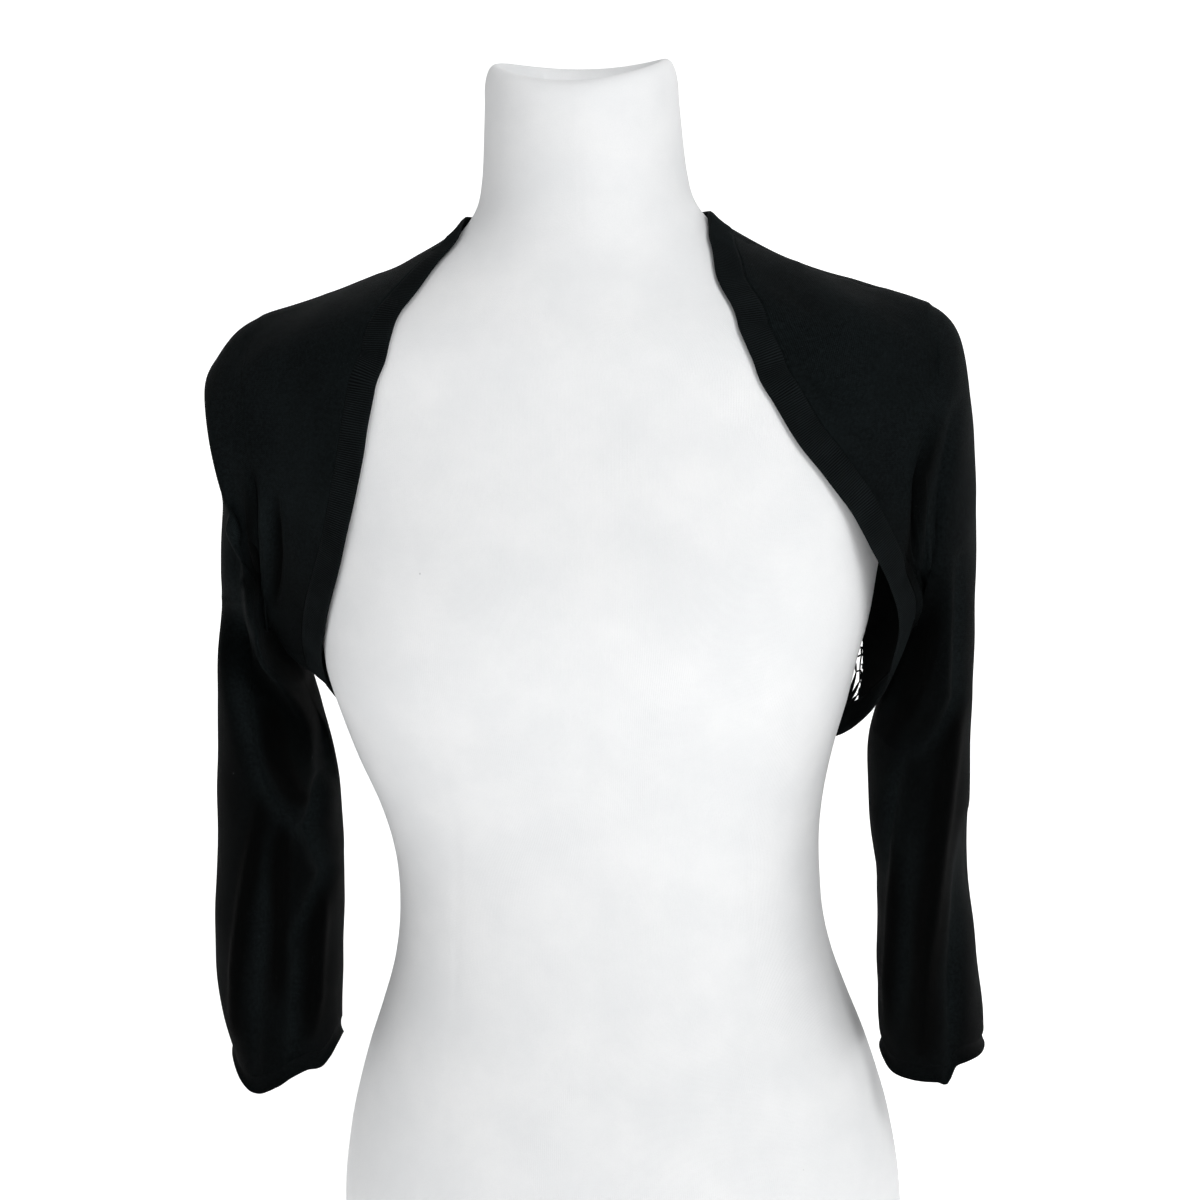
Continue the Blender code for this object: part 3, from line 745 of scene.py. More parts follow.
class Maker:
    """Puts arrays of points and faces into meshes and hands the pieces to the frame."""

    def __init__(self) -> None:
        """Makes the collection that the pieces are linked to."""
        self.collection = bpy.data.collections.new("shrug_and_form")
        bpy.context.scene.collection.children.link(self.collection)

    def mesh(self, name: str, points: Array, faces: list[Any], finish: Finish) -> Piece:
        """A smooth-shaded mesh object.

        Args:
            name: The piece's name.
            points: Its points, in metres.
            faces: Its faces as lists of point numbers.
            finish: Its material.

        Returns:
            The object, at the origin, unturned and unscaled.
        """
        mesh = bpy.data.meshes.new(name)
        mesh.from_pydata(points.reshape(-1, 3), [], faces)
        mesh.materials.append(finish)
        mesh.shade_smooth()
        piece = bpy.data.objects.new(name, mesh)
        self.collection.objects.link(piece)
        return piece

    def mark(self, piece: Piece, lift: Array) -> None:
        """Keeps how far each point stands out, in mm: less in a fold and less low down. The knit
        paints its shade from it: painted shade in the folds' hollows and low down, and a painted
        highlight on their ridges.
        """
        layer = piece.data.attributes.new("lift", "FLOAT", "POINT")
        layer.data.foreach_set("value", np.ascontiguousarray(lift, np.float32).reshape(-1))

    def lay_flat(self, piece: Piece, corners: Array) -> None:
        """Gives a piece its flat pattern in metres as a UV map: one (u, v) for each face corner."""
        layer = piece.data.uv_layers.new(name="Flat")
        layer.data.foreach_set("uv", corners.astype(np.float32).ravel())

    def grid(
        self, name: str, grid: Array, finish: Finish, closed: bool = False, turned: bool = False
    ) -> Piece:
        """A sheet on a grid of points, with its flat pattern.

        Args:
            name: The piece's name.
            grid: Points in rows, in metres.
            finish: Its material.
            closed: Whether each row is a ring.
            turned: Whether the faces are turned to look the other way.

        Returns:
            The object.
        """
        rows, columns = grid.shape[:2]
        flat = flat_lengths(grid, closed)
        faces = grid_faces(rows, columns, closed)
        corners = grid_faces(rows, flat.shape[1], False)
        if turned:
            faces, corners = faces[:, ::-1], corners[:, ::-1]
        piece = self.mesh(name, grid, faces.tolist(), finish)
        self.lay_flat(piece, flat.reshape(-1, 2)[corners])
        return piece

    def tubes(
        self,
        name: str,
        paths: Sequence[Yarns],
        sides: int,
        finish: Finish,
    ) -> Piece:
        """Yarns as thin tubes with closed ends, all in one mesh.

        Args:
            name: The piece's name.
            paths: Batches of (points, normals, half widths, flatness), with the points as paths
                by stations by 3.
            sides: How many sides a tube has.
            finish: Its material.

        Returns:
            The object. A ring is the point plus the width along the side direction times the
            cosine, and the flattened width along the normal times the sine.
        """
        turn = np.arange(sides) * FULL_TURN / sides
        points, faces, corners, first = [], [], [], 0
        for line, normal, half, flatness in paths:
            tangent = unit(np.gradient(line, axis=1))
            across = unit(np.cross(tangent, normal))
            upward = np.cross(across, tangent)
            reach = half[..., None, None]
            ring = (
                line[:, :, None]
                + across[:, :, None] * np.cos(turn)[:, None] * reach
                + upward[:, :, None] * np.sin(turn)[:, None] * reach * flatness
            )
            count, stations = line.shape[:2]
            quads = grid_faces(stations, sides, True)
            step = stations * sides
            starts = (np.arange(count) * step)[:, None, None] + first
            whole = quads[None] + starts
            ends = np.arange(sides)
            caps = np.stack([ends, ends[::-1] + step - sides])[None] + starts
            lap = np.arange(sides + 1) / sides
            flat = paired(lap[None, None, :], lengths_along(line)[:, :, None]).reshape(count, -1, 2)
            corner = flat[:, grid_faces(stations, sides + 1, False)]
            cap_uv = np.zeros((count, 2, sides, 2))
            points.append(ring.reshape(-1, 3))
            faces += whole.reshape(-1, 4).tolist() + caps.reshape(-1, sides).tolist()
            corners += [corner.reshape(-1, 2), cap_uv.reshape(-1, 2)]
            first += count * step
        piece = self.mesh(name, np.concatenate(points), faces, finish)
        self.lay_flat(piece, np.concatenate(corners))
        return piece

    def wall(self, piece: Piece, thickness: float) -> Piece:
        """Gives a sheet its thickness, half to each side."""
        wall = piece.modifiers.new("Wall", "SOLIDIFY")
        wall.thickness = thickness
        wall.offset = 0
        return piece

    def place(self, piece: Piece, slot: str, *nodes: str) -> Piece:
        """Hands a piece to the frame, and hides the nodes it stands for."""
        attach(piece, "root")
        if nodes:
            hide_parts(*nodes)
        log.info("%s: %d points", piece.name, len(piece.data.vertices))
        return piece


# ---------------------------------------------------------------- finishes


def joined_by(operation: str, swapped: bool = False) -> Callable[[Wire, Wire | float], Wire]:
    """A method of Wire that puts a Math node on the wire and another value.

    Args:
        operation: The Math node's operation.
        swapped: Whether the other value comes first.

    Returns:
        The method.
    """

    def method(wire: Wire, other: Wire | float) -> Wire:
        """The node's output."""
        values = (other, wire) if swapped else (wire, other)
        return wire.bench.maths(operation, *values)

    return method


class Wire:
    """A node's output that takes part in Python expressions."""

    def __init__(self, bench: Bench, socket: bpy.types.NodeSocket) -> None:
        """Wraps a socket of a bench's tree."""
        self.bench = bench
        self.socket = socket

    __add__ = joined_by("ADD")
    __radd__ = joined_by("ADD", True)
    __sub__ = joined_by("SUBTRACT")
    __rsub__ = joined_by("SUBTRACT", True)
    __mul__ = joined_by("MULTIPLY")
    __rmul__ = joined_by("MULTIPLY", True)
    __truediv__ = joined_by("DIVIDE")
    __pow__ = joined_by("POWER")


class Bench:
    """Makes the nodes of one material round its Principled shader."""

    def __init__(self, name: str) -> None:
        """Starts a material with only its shader and output."""
        self.material = bpy.data.materials.new(name)
        self.material.use_nodes = True
        self.nodes = self.material.node_tree.nodes
        self.links = self.material.node_tree.links
        self.shader = self.nodes["Principled BSDF"]

    def feed(self, socket: bpy.types.NodeSocket, value: Any) -> None:
        """Links a wire to a socket, or sets the socket's own value."""
        if isinstance(value, Wire):
            self.links.new(value.socket, socket)
        elif isinstance(value, tuple) and len(value) == 3 and socket.type == "RGBA":
            socket.default_value = (*value, 1)
        else:
            socket.default_value = value

    def add(
        self, kind: str, settings: dict[str, Any], inputs: dict[Any, Any], output: Any = 0
    ) -> Wire:
        """One node.

        Args:
            kind: The node's type.
            settings: Its settings, which are set first.
            inputs: Values or wires by the name or number of the socket.
            output: The name or number of the output that is wanted.

        Returns:
            That output.
        """
        node = self.nodes.new(kind)
        for name, value in settings.items():
            setattr(node, name, value)
        for name, value in inputs.items():
            self.feed(node.inputs[name], value)
        return Wire(self, node.outputs[output])

    def maths(self, operation: str, *values: Wire | float) -> Wire:
        """A Math node on the values."""
        return self.add("ShaderNodeMath", {"operation": operation}, dict(enumerate(values)))

    def wave(self, laps: Wire, operation: str = "SINE") -> Wire:
        """A wave between 0 and 1 that comes round at each whole lap."""
        return self.maths(operation, laps * FULL_TURN) * 0.5 + 0.5

    def mixed(self, factor: Wire | float, low: Any, high: Any) -> Wire:
        """A colour between two others."""
        settings = {"data_type": "RGBA", "blend_type": "MIX"}
        return self.add("ShaderNodeMix", settings, {0: factor, 6: low, 7: high}, 2)

    def between(self, value: Wire, low: float, high: float) -> Wire:
        """A smooth rise from 0 at low to 1 at high."""
        inputs = {0: value, 1: low, 2: high, 3: 0.0, 4: 1.0}
        return self.add("ShaderNodeMapRange", {"interpolation_type": "SMOOTHSTEP"}, inputs)

    def place(self) -> Wire:
        """The point on the piece, in metres."""
        return self.add("ShaderNodeTexCoord", {}, {}, "Object")

    def flat(self) -> tuple[Wire, Wire]:
        """The two directions of the piece's flat pattern, in metres."""
        pattern = self.add("ShaderNodeUVMap", {"uv_map": "Flat"}, {})
        parts = self.nodes.new("ShaderNodeSeparateXYZ")
        self.links.new(pattern.socket, parts.inputs[0])
        return Wire(self, parts.outputs[0]), Wire(self, parts.outputs[1])

    def attribute(self, name: str) -> Wire:
        """A number kept at the piece's points."""
        return self.add("ShaderNodeAttribute", {"attribute_name": name}, {}, "Fac")

    def noise(self, where: Wire, size: float, detail: float = 2.0, rough: float = 0.5) -> Wire:
        """Soft noise whose patches are about the size given, in metres."""
        inputs = {"Vector": where, "Scale": 1 / size, "Detail": detail, "Roughness": rough}
        return self.add("ShaderNodeTexNoise", {}, inputs)

    def spots(self, where: Wire, size: float) -> Wire:
        """The distance to the nearest of many scattered points, as a share of a size in metres."""
        inputs = {"Vector": where, "Scale": 1 / size}
        return self.add("ShaderNodeTexVoronoi", {}, inputs, "Distance")

    def relief(self, *heights: tuple[Wire, float]) -> None:
        """Bumps the surface by each height, which runs from 0 to 1, times its depth in metres."""
        normal: Wire | None = None
        for height, depth in heights:
            inputs: dict[str, Any] = {"Height": height, "Distance": depth, "Strength": 1.0}
            if normal is not None:
                inputs["Normal"] = normal
            normal = self.add("ShaderNodeBump", {}, inputs)
        self.feed(self.shader.inputs["Normal"], normal)

    def coat(self, colour: Any, roughness: Any, **constants: float) -> Finish:
        """Feeds the shader.

        Args:
            colour: The base colour or a wire of it.
            roughness: The roughness or a wire of it.
            constants: Values of other sockets, by name with _ for a space.

        Returns:
            The finished material.
        """
        self.feed(self.shader.inputs["Base Color"], colour)
        self.feed(self.shader.inputs["Roughness"], roughness)
        for name, value in constants.items():
            self.shader.inputs[name.replace("_", " ")].default_value = value
        return self.material


@dataclass(frozen=True)
class StockingStitch:
    """A fine plain knit: columns of V stitches, a faint fuzz, a slow shade and a little lint, with
    painted shade in its folds' hollows and low down.
    """

    name: str = "Knit"
    deep: Colour = (0.0003, 0.0005, 0.0005)
    face: Colour = (0.0088, 0.0124, 0.0134)
    # The painted shade's colour, for the folds' hollows and the lower cloth.
    fold_shade: Colour = (0.0004, 0.0006, 0.0006)
    lint: Colour = (0.055, 0.056, 0.058)
    # The lifts in mm at which the painted shade is full and at which it is gone.
    full_shade_at: float = 6.0
    no_shade_at: float = 2.2
    wale: float = 1.35 * MM
    course: float = 1.05 * MM
    stitch_depth: float = 0.16 * MM

    def dressed(self) -> Finish:
        """The material: each stitch's two legs lean to a point in the middle of its column."""
        bench = Bench(self.name)
        where = bench.place()
        round_way, down = bench.flat()
        sway = bench.noise(where, 14 * MM) * (0.5 * MM)
        across = bench.maths("FRACT", (round_way + sway) / self.wale)
        lean = bench.maths("ABSOLUTE", across - 0.5) * 2
        leg = 1 - bench.maths("ABSOLUTE", lean * 2 - 1) ** 2.0
        beat = bench.wave(down / self.course - lean * 0.6)
        stitch = leg * (0.45 + 0.55 * beat)
        fuzz = bench.noise(where, 0.5 * MM, 3, 0.65)
        cloud = bench.noise(where, 22 * MM, 3, 0.55)
        speck = 1 - bench.between(bench.spots(where, 26 * MM), 0.012, 0.020)
        grain = bench.noise(where, 1.7 * MM, 2, 0.7)
        drift = bench.noise(where, 90 * MM, 2, 0.5)
        # Painted shade lightens the stitches' legs against the gaps; the noises add random tone.
        mottle = 0.35 * stitch + 0.35 * fuzz + 0.55 * grain + 0.14 * cloud + 0.2 * drift
        shade = bench.between(mottle, 0.45, 1.15)
        # Painted shade: the shade colour where the kept lift is low, in a fold's hollow or low down.
        unshaded = bench.between(bench.attribute("lift"), -self.full_shade_at, self.no_shade_at)
        tone = bench.mixed(unshaded, self.fold_shade, bench.mixed(shade, self.deep, self.face))
        colour = bench.mixed(speck, tone, self.lint)
        soft = ((fuzz, 0.10 * MM), (grain, 0.14 * MM), (cloud, 0.7 * MM))
        bench.relief((stitch, self.stitch_depth), *soft)
        roughness = 0.82 + 0.14 * fuzz
        return bench.coat(
            colour, roughness, Specular_IOR_Level=0.035, Sheen_Weight=0.004, Sheen_Roughness=0.45
        )


@dataclass(frozen=True)
class RibKnit:
    """The rib band's yarn: its ribs are in the mesh, and each rib's small stitches are here."""

    name: str = "Rib"
    deep: Colour = (0.0004, 0.0006, 0.0007)
    face: Colour = (0.0090, 0.0118, 0.0126)
    course: float = 1.0 * MM
    rib: float = 1.3 * MM

    def dressed(self) -> Finish:
        """The material: a stitch every course along the ribs, a fine fuzz, and painted shade that
        darkens the hollows between the mesh's ribs and lightens their crests.
        """
        bench = Bench(self.name)
        where = bench.place()
        across, along = bench.flat()
        beat = bench.wave(along / self.course)
        ridge = bench.wave(across / self.rib, "COSINE")
        fuzz = bench.noise(where, 0.45 * MM, 3, 0.65)
        cloud = bench.noise(where, 16 * MM, 3)
        # Painted shade on the mesh's ribs: crests lighter, hollows darker, with a cloud of tone.
        shade = bench.between(0.12 * beat + 0.75 * ridge + 0.25 * fuzz + 0.5 * cloud, 0.3, 1.35)
        bench.relief((beat, 0.08 * MM), (fuzz, 0.09 * MM))
        return bench.coat(
            bench.mixed(shade, self.deep, self.face),
            0.8 + 0.15 * fuzz,
            Specular_IOR_Level=0.04,
            Sheen_Weight=0.004,
            Sheen_Roughness=0.4,
        )


@dataclass(frozen=True)
class CrochetYarn:
    """Thin twisted yarn, as the back's crochet and the seams are worked in."""

    name: str = "Yarn"
    deep: Colour = (0.0012, 0.0014, 0.0016)
    face: Colour = (0.0058, 0.0068, 0.0074)
    twist: float = 1.5 * MM

    def dressed(self) -> Finish:
        """The material: plies wind round the yarn, as stripes that lean along its flat pattern; the
        grooves between the plies are painted darker, as painted shade.
        """
        bench = Bench(self.name)
        lap, along = bench.flat()
        fuzz = bench.noise(bench.place(), 0.4 * MM, 3, 0.6)
        ply = bench.wave(along / self.twist + lap * 2)
        bench.relief((ply, 0.16 * MM), (fuzz, 0.08 * MM))
        # Painted shade: the grooves between the plies are darker, beside their bump.
        colour = bench.mixed(bench.between(0.6 * ply + 0.4 * fuzz, 0.1, 0.9), self.deep, self.face)
        return bench.coat(colour, 0.78 + 0.16 * fuzz, Specular_IOR_Level=0.05, Sheen_Weight=0.004)


@dataclass(frozen=True)
class FormJersey:
    """The white jersey skin: a very fine rib, a faint mottle, and a few bits of lint."""

    name: str = "Jersey"
    white: Colour = (0.83, 0.835, 0.84)
    grey: Colour = (0.765, 0.775, 0.785)
    lint: Colour = (0.42, 0.42, 0.43)
    rib: float = 0.9 * MM

    def dressed(self) -> Finish:
        """The material: fine upright ribs, a finer fuzz, and clouds of a slightly greyer white."""
        bench = Bench(self.name)
        where = bench.place()
        round_way, down = bench.flat()
        rib = bench.wave(round_way / self.rib)
        beat = bench.wave(down / self.rib)
        fuzz = bench.noise(where, 0.8 * MM, 3, 0.6)
        cloud = bench.noise(where, 45 * MM, 4, 0.55)
        speck = 1 - bench.between(bench.spots(where, 52 * MM), 0.008, 0.013)
        shade = bench.between(0.25 * fuzz + 0.75 * cloud, 0.3, 0.75)
        colour = bench.mixed(speck * 0.6, bench.mixed(shade, self.grey, self.white), self.lint)
        bench.relief((rib * (0.6 + 0.4 * beat), 0.06 * MM), (fuzz, 0.07 * MM))
        return bench.coat(colour, 0.86 + 0.1 * fuzz, Specular_IOR_Level=0.2, Sheen_Weight=0.08)


@dataclass(frozen=True)
class PaperSweep:
    """The studio's white sweep, lit a little from within so that it stays white."""

    name: str = "Sweep"
    white: Colour = (0.9, 0.9, 0.9)
    glow: float = 0.68

    def dressed(self) -> Finish:
        """The material."""
        bench = Bench(self.name)
        bench.shader.inputs["Emission Color"].default_value = (1, 1, 1, 1)
        return bench.coat(self.white, 0.9, Emission_Strength=self.glow)


# ---------------------------------------------------------------- the dress form


@dataclass
class DressForm:
    """The limbless form: jersey pulled over a torso and tucked into the top of the neck."""

    maker: Maker
    finish: Finish
    sides: int = 240
    rings: int = 300
    neck_rings: int = 60
    # How far in rows the first and last ring's directions are taken from the form's ends.
    end_margin: float = 0.03
    # The slits' depth and half width, and the swelling's rise and radius, in mm.
    slit_depth: float = 4.2
    slit_width: float = 1.9
    swelling: float = 3.2
    swelling_reach: float = 17
    # The cover's seams, and a soft fullness on either side of the bust.
    seams: tuple[Fold, ...] = (
        Fold(FRONT, -0.35, 1.6, ((3, 700), (2, 346), (1, 279), (-1, 164), (-2, 2))),
        Fold(BACK, -0.35, 1.6, ((2, 700), (1, 350), (0, 2))),
        Fold(
            FRONT,
            -0.3,
            1.8,
            ((-99, 480), (-88, 400), (-76, 313), (-81, 215), (-97, 103), (-100, 2)),
        ),
        Fold(FRONT, -0.3, 1.8, ((101, 480), (90, 400), (85, 312), (87, 215), (94, 103), (98, 2))),
        Fold(BACK, -0.3, 1.8, ((-90, 480), (-76, 300), (-96, 100), (-100, 2))),
        Fold(BACK, -0.3, 1.8, ((90, 480), (76, 300), (96, 100), (100, 2))),
        Fold(FRONT, 0.5, 14, ((-110, 489), (-102, 429), (-93, 374))),
        Fold(FRONT, 0.5, 14, ((135, 491), (112, 427), (84, 361))),
    )
    # Two slits in the tucked jersey at the neck's top, at (x, y), and the swelling between them.
    slits: tuple[tuple[Point, Point], ...] = (((-24, 30), (-31, -2)), ((14, 34), (24, 4)))

    def skin(self) -> Array:
        """The outer skin's rings, from the base to the neck."""
        angles = np.arange(self.sides) * 360 / self.sides
        levels = np.linspace(0, len(FORM) - 1, self.rings)[:, None]
        points = form_point(angles[None], levels)
        inside = np.clip(levels, self.end_margin, len(FORM) - 1 - self.end_margin)
        normals = form_normal(angles[None], inside)
        lift = sum(seam.lift(points / MM) for seam in self.seams)
        return points + normals * np.asarray(lift)[..., None] * MM

    def neck_top(self, neck: Array) -> Array:
        """The rim and the shallow dish inside it.

        Args:
            neck: The skin's last ring.

        Returns:
            Rings towards the middle: each is the neck's ring drawn in by its inset, and higher at
            the sides by the squared cosine. The slits are troughs, and the jersey between them
            swells.
        """
        place = np.linspace(0, len(NECK_TOP) - 1, self.neck_rings)[1:]
        height, inset, rise = (smooth_value(NECK_TOP[name], place) for name in NECK_TOP.columns)
        middle = neck.mean(axis=0)
        reach = FORM["half_width"][-1]
        rings = middle + (neck - middle) * (1 - inset / reach)[:, None, None]
        cos = unit(neck - middle)[:, 0]
        z = height[:, None] + rise[:, None] * cos**2
        x, y = rings[..., 0] / MM, rings[..., 1] / MM
        inside = np.clip((inset - 8) / 10, 0, 1)[:, None]
        for (x0, y0), (x1, y1) in self.slits:
            way = np.array([x1 - x0, y1 - y0], float)
            share = np.clip(((x - x0) * way[0] + (y - y0) * way[1]) / (way @ way), 0, 1)
            gap = np.hypot(x - x0 - share * way[0], y - y0 - share * way[1])
            z -= self.slit_depth * inside * np.exp(-((gap / self.slit_width) ** 2))
        swollen = np.hypot(x + 4, y - 12) / self.swelling_reach
        z += self.swelling * inside * np.exp(-(swollen**2))
        z += 0.5 * inside * np.sin(x * 0.35 + y * 0.2)
        rings[..., 2] = z * MM
        return rings

    def build(self) -> Piece:
        """Builds the form, closed at the base and in the neck's dish."""
        skin = self.skin()
        grid = np.concatenate([skin, self.neck_top(skin[-1])])
        rows, columns = grid.shape[:2]
        centres = [ring.mean(axis=0)[None] for ring in (grid[0], grid[-1])]
        points = np.concatenate([grid.reshape(-1, 3), *centres])
        ring = np.arange(columns)
        after = (ring + 1) % columns
        top = (rows - 1) * columns
        base = np.stack([after, ring, np.full(columns, rows * columns)], -1)
        crown = np.stack([top + ring, top + after, np.full(columns, rows * columns + 1)], -1)
        sides = grid_faces(rows, columns, True)
        piece = self.maker.mesh(
            "form_skin", points, sides.tolist() + base.tolist() + crown.tolist(), self.finish
        )
        flat = flat_lengths(grid, True)
        corner = flat.reshape(-1, 2)[grid_faces(rows, columns + 1, False)].reshape(-1, 2)
        discs = points[np.concatenate([base, crown]).ravel()][:, :2]
        self.maker.lay_flat(piece, np.concatenate([corner, discs]))
        piece.data.set_sharp_from_angle(angle=math.radians(50))
        return self.maker.place(piece, "jersey", "dress_form")


# ---------------------------------------------------------------- the shrug


# How far the cloth is smoothed across the armhole, in mm, by the share of the way from the shoulder
# to the underarm: over the body and over the sleeve.
REACH = Table(("share", "body", "sleeve"), (
    (0.0, 34, 26),
    (0.15, 40, 34),
    (0.38, 44, 40),
    (0.55, 38, 34),
    (0.75, 20, 20),
    (0.9, 8, 9),
    (1.0, 3, 3),
))  # fmt: skip
# The length in mm over which the cloth's own direction is taken there.
TANGENT_LENGTH = 2


def arm_turns(towards: int) -> Array:
    """The turns of the lines over one half of the armhole, from the shoulder's tip down."""
    if towards < 0:
        return np.linspace(0, math.pi, YOKE_LINES + SIDE_LINES + 1)
    yoke = np.linspace(0, yoke_turn(), YOKE_LINES + 1)
    return np.concatenate([yoke, np.linspace(yoke_turn(), math.pi, SIDE_LINES + 1)[1:]])


def bridged(body: Array, sleeve: Array, turns: Array, most: float) -> tuple[Array, Array]:
    """Lines that run over the armhole's seam, made smooth across it.

    Args:
        body: Lines by stations by 3, each ending at the seam.
        sleeve: The same lines onward, each starting at the seam.
        turns: Each line's turn round the armhole.
        most: The most of the body's cloth that is smoothed, in mm.

    Returns:
        The two sets of lines: within the reach of the seam each is a Hermite curve, which leaves
        the cloth at both ends in the cloth's own direction.
    """
    seam = body.shape[1] - 1
    whole = np.concatenate([body, sleeve[:, 1:]], axis=1)
    at = lengths_along(whole)
    at -= at[:, seam : seam + 1]
    reach = [np.interp(turns / math.pi, REACH["share"], REACH[k]) for k in ("body", "sleeve")]
    short = TANGENT_LENGTH * MM
    reach = (np.minimum(reach[0], most) * MM, reach[1] * MM)
    for line, place, turn_in, turn_out in zip(whole, at, *reach):
        marks = [-turn_in, -turn_in - short, turn_out, turn_out + short]
        found = np.stack([np.interp(marks, place, line[:, k]) for k in range(3)], -1)
        start, before, end, after = found
        span = np.linalg.norm(end - start)
        leave, arrive = unit(start - before) * span, unit(after - end) * span
        t = ((place + turn_in) / (turn_in + turn_out))[:, None]
        curve = (
            (2 * t**3 - 3 * t**2 + 1) * start
            + (t**3 - 2 * t**2 + t) * leave
            + (3 * t**2 - 2 * t**3) * end
            + (t**3 - t**2) * arrive
        )
        inside = (place > -turn_in) & (place < turn_out)
        line[inside] = curve[inside]
    return whole[:, : seam + 1], whole[:, seam:]


class Cut:
    """The garment before its folds: a grid of points for each panel and rings for each sleeve."""

    across = 56
    yoke_across = 190
    side_across = 24
    side_seam_rows = 16
    sleeve_rows = 190
    # A sleeve's hidden first ring beside the armhole, how its rows crowd towards the shoulder, and
    # the rows over which its outward direction leaves the body's.
    inner_ring = 1.05
    crowding = 1.06
    turning_rows = 14
    # The most of the body's cloth that is smoothed at an armhole, in mm.
    most_smoothed = 60
    most_on_strip = 40

    def __init__(self, opening: Opening) -> None:
        """Lays out every panel between its border lines, then smooths the cloth at the armholes."""
        self.opening = opening
        self.places: dict[str, Array] = {}
        self.points: dict[str, Array] = {}
        self.ways: dict[str, Array] = {}
        self.rings: dict[Side, Array] = {}
        self.ring_ways: dict[Side, Array] = {}
        self.lay_fronts()
        self.lay_back()
        for name, places in self.places.items():
            self.points[name] = on_body(places)
            self.ways[name] = surface_frame(places)[0]
        for side, table in ((Side.LEFT, LEFT_SLEEVE), (Side.RIGHT, RIGHT_SLEEVE)):
            self.lay_sleeve(side, table)
            self.join_armhole(side)

    def hem_shares(self, sides: int, middle: int) -> Array:
        """Shares of the hem's run: one side strip's part, the lace's and the other strip's."""
        _, outer = self.opening.sampled("hem", np.linspace(0, 1, 401))
        off_middle = np.abs(on_body(outer)[:, 0] - lean_of(outer[:, 1]))
        inside = np.flatnonzero(off_middle < LACE_HALF_WIDTH * MM) / 400
        return np.concatenate(
            [
                np.linspace(0, inside[0], sides + 1),
                np.linspace(inside[0], inside[-1], middle + 1)[1:-1],
                np.linspace(inside[-1], 1, sides + 1),
            ]
        )

    def window_top(self) -> Array:
        """The lace panel's upper corner, on the yoke's line."""
        level = level_of(YOKE_LINE)
        return np.array([angle_at_width(np.array([level]), np.array([LACE_HALF_WIDTH]))[0], level])

    def window_line(self, foot: Array, count: int) -> Array:
        """The lace panel's side edge, from the yoke down to its foot."""
        levels = np.linspace(level_of(YOKE_LINE), foot[1], count + 1)
        half = np.interp(smooth_value(FORM_HEIGHTS, levels), LACE_HEIGHTS, LACE_HALF_WIDTHS)
        return np.stack([angle_at_width(levels, half), levels], -1)

    def yoke_foot(self, sides: int, middle: int) -> Array:
        """The yoke's lower seam from the left armhole to the right one."""
        start = armhole(np.array([yoke_turn()]), 1)[0]
        corner = self.window_top()
        side = straight(start, corner, sides)
        centre = straight(corner, mirrored(corner), middle)
        return np.concatenate([side, centre[1:-1], mirrored(side)[::-1]])

    def lay_fronts(self) -> None:
        """Each front's rows run from the band to the armhole, its columns from shoulder to side."""
        turns = arm_turns(-1)
        for side in Side:
            _, line = self.opening.sampled(f"front_{side.value}", np.linspace(0, 1, len(turns)))
            line = line if side is Side.LEFT else mirrored(line[::-1])
            tip, underarm = armhole(np.array([0, math.pi]), -1)
            places = coons(
                straight(line[0], tip, self.across),
                straight(line[-1], underarm, self.across),
                line,
                armhole(turns, -1),
            )
            self.places[f"front_{side.value}"] = mirrored(places) if side is Side.RIGHT else places

    def lay_back(self) -> None:
        """The yoke's rows run from armhole to armhole, each side strip's from the armhole in."""
        middle = self.yoke_across - 2 * self.side_across
        _, hem = self.opening.sampled("hem", self.hem_shares(self.side_across, middle))
        foot = self.yoke_foot(self.side_across, middle)
        neck_steps = self.yoke_across - 2 * self.across
        _, neck = self.opening.sampled("neck", np.linspace(1, 0, neck_steps + 1))
        tip = armhole(np.array([0.0]), 1)[0]
        left = straight(tip, neck[0], self.across)
        right = straight(neck[-1], mirrored(tip), self.across)
        arm = armhole(arm_turns(1)[: YOKE_LINES + 1], 1)
        top = np.concatenate([left[:-1], neck, right[1:]])
        self.places["back_yoke"] = coons(top, foot, arm, mirrored(arm))
        last = len(hem) - 1 - self.side_across
        underarm = armhole(np.array([math.pi]), 1)[0]
        for side, line in (
            (Side.LEFT, hem[: self.side_across + 1]),
            (Side.RIGHT, mirrored(hem[last:])[::-1]),
        ):
            seam = straight(underarm, line[0], self.side_seam_rows)[1:]
            outer = np.concatenate([armhole(arm_turns(1)[YOKE_LINES:], 1), seam])
            window = self.window_line(line[-1], len(outer) - 1)
            places = coons(foot[: self.side_across + 1], line, outer, window)
            name = f"back_side_{side.value}"
            self.places[name] = mirrored(places) if side is Side.RIGHT else places

    def lay_sleeve(self, side: Side, table: Table) -> None:
        """A sleeve's rings, on a smooth curve through a body ring, the armhole and the table.

        Args:
            side: Which sleeve.
            table: Its rings.
        """
        front, back = arm_turns(-1), arm_turns(1)
        places = np.concatenate([armhole(front, -1), armhole(back, 1)[-2:0:-1]])
        centre = np.array([ARMHOLE_SWING / 2, level_of(ARMHOLE_MIDDLE)])
        inner = centre + (places - centre) * self.inner_ring
        right = side is Side.RIGHT
        rings = [on_body(mirrored(line) if right else line) for line in (inner, places)]
        flip = (-1 if right else 1, 1, 1)
        for row in table.rows:
            ring = [self.half_ring(row, front, -1), self.half_ring(row, back, 1)[-2:0:-1]]
            rings.append(np.concatenate(ring) * flip)
        spaced = np.linspace(0, 1, self.sleeve_rows) ** self.crowding
        rings = smooth_value(np.array(rings), 1 + spaced * len(table))
        around = np.roll(rings, -1, axis=1) - np.roll(rings, 1, axis=1)
        own = unit(np.cross(np.gradient(rings, axis=0), around)) * (-1 if right else 1)
        start = surface_frame(mirrored(places) if right else places)[0]
        share = np.clip(np.arange(self.sleeve_rows) / self.turning_rows, 0, 1)[:, None, None]
        self.rings[side] = rings
        self.ring_ways[side] = unit(start[None] * (1 - share) + own * share)

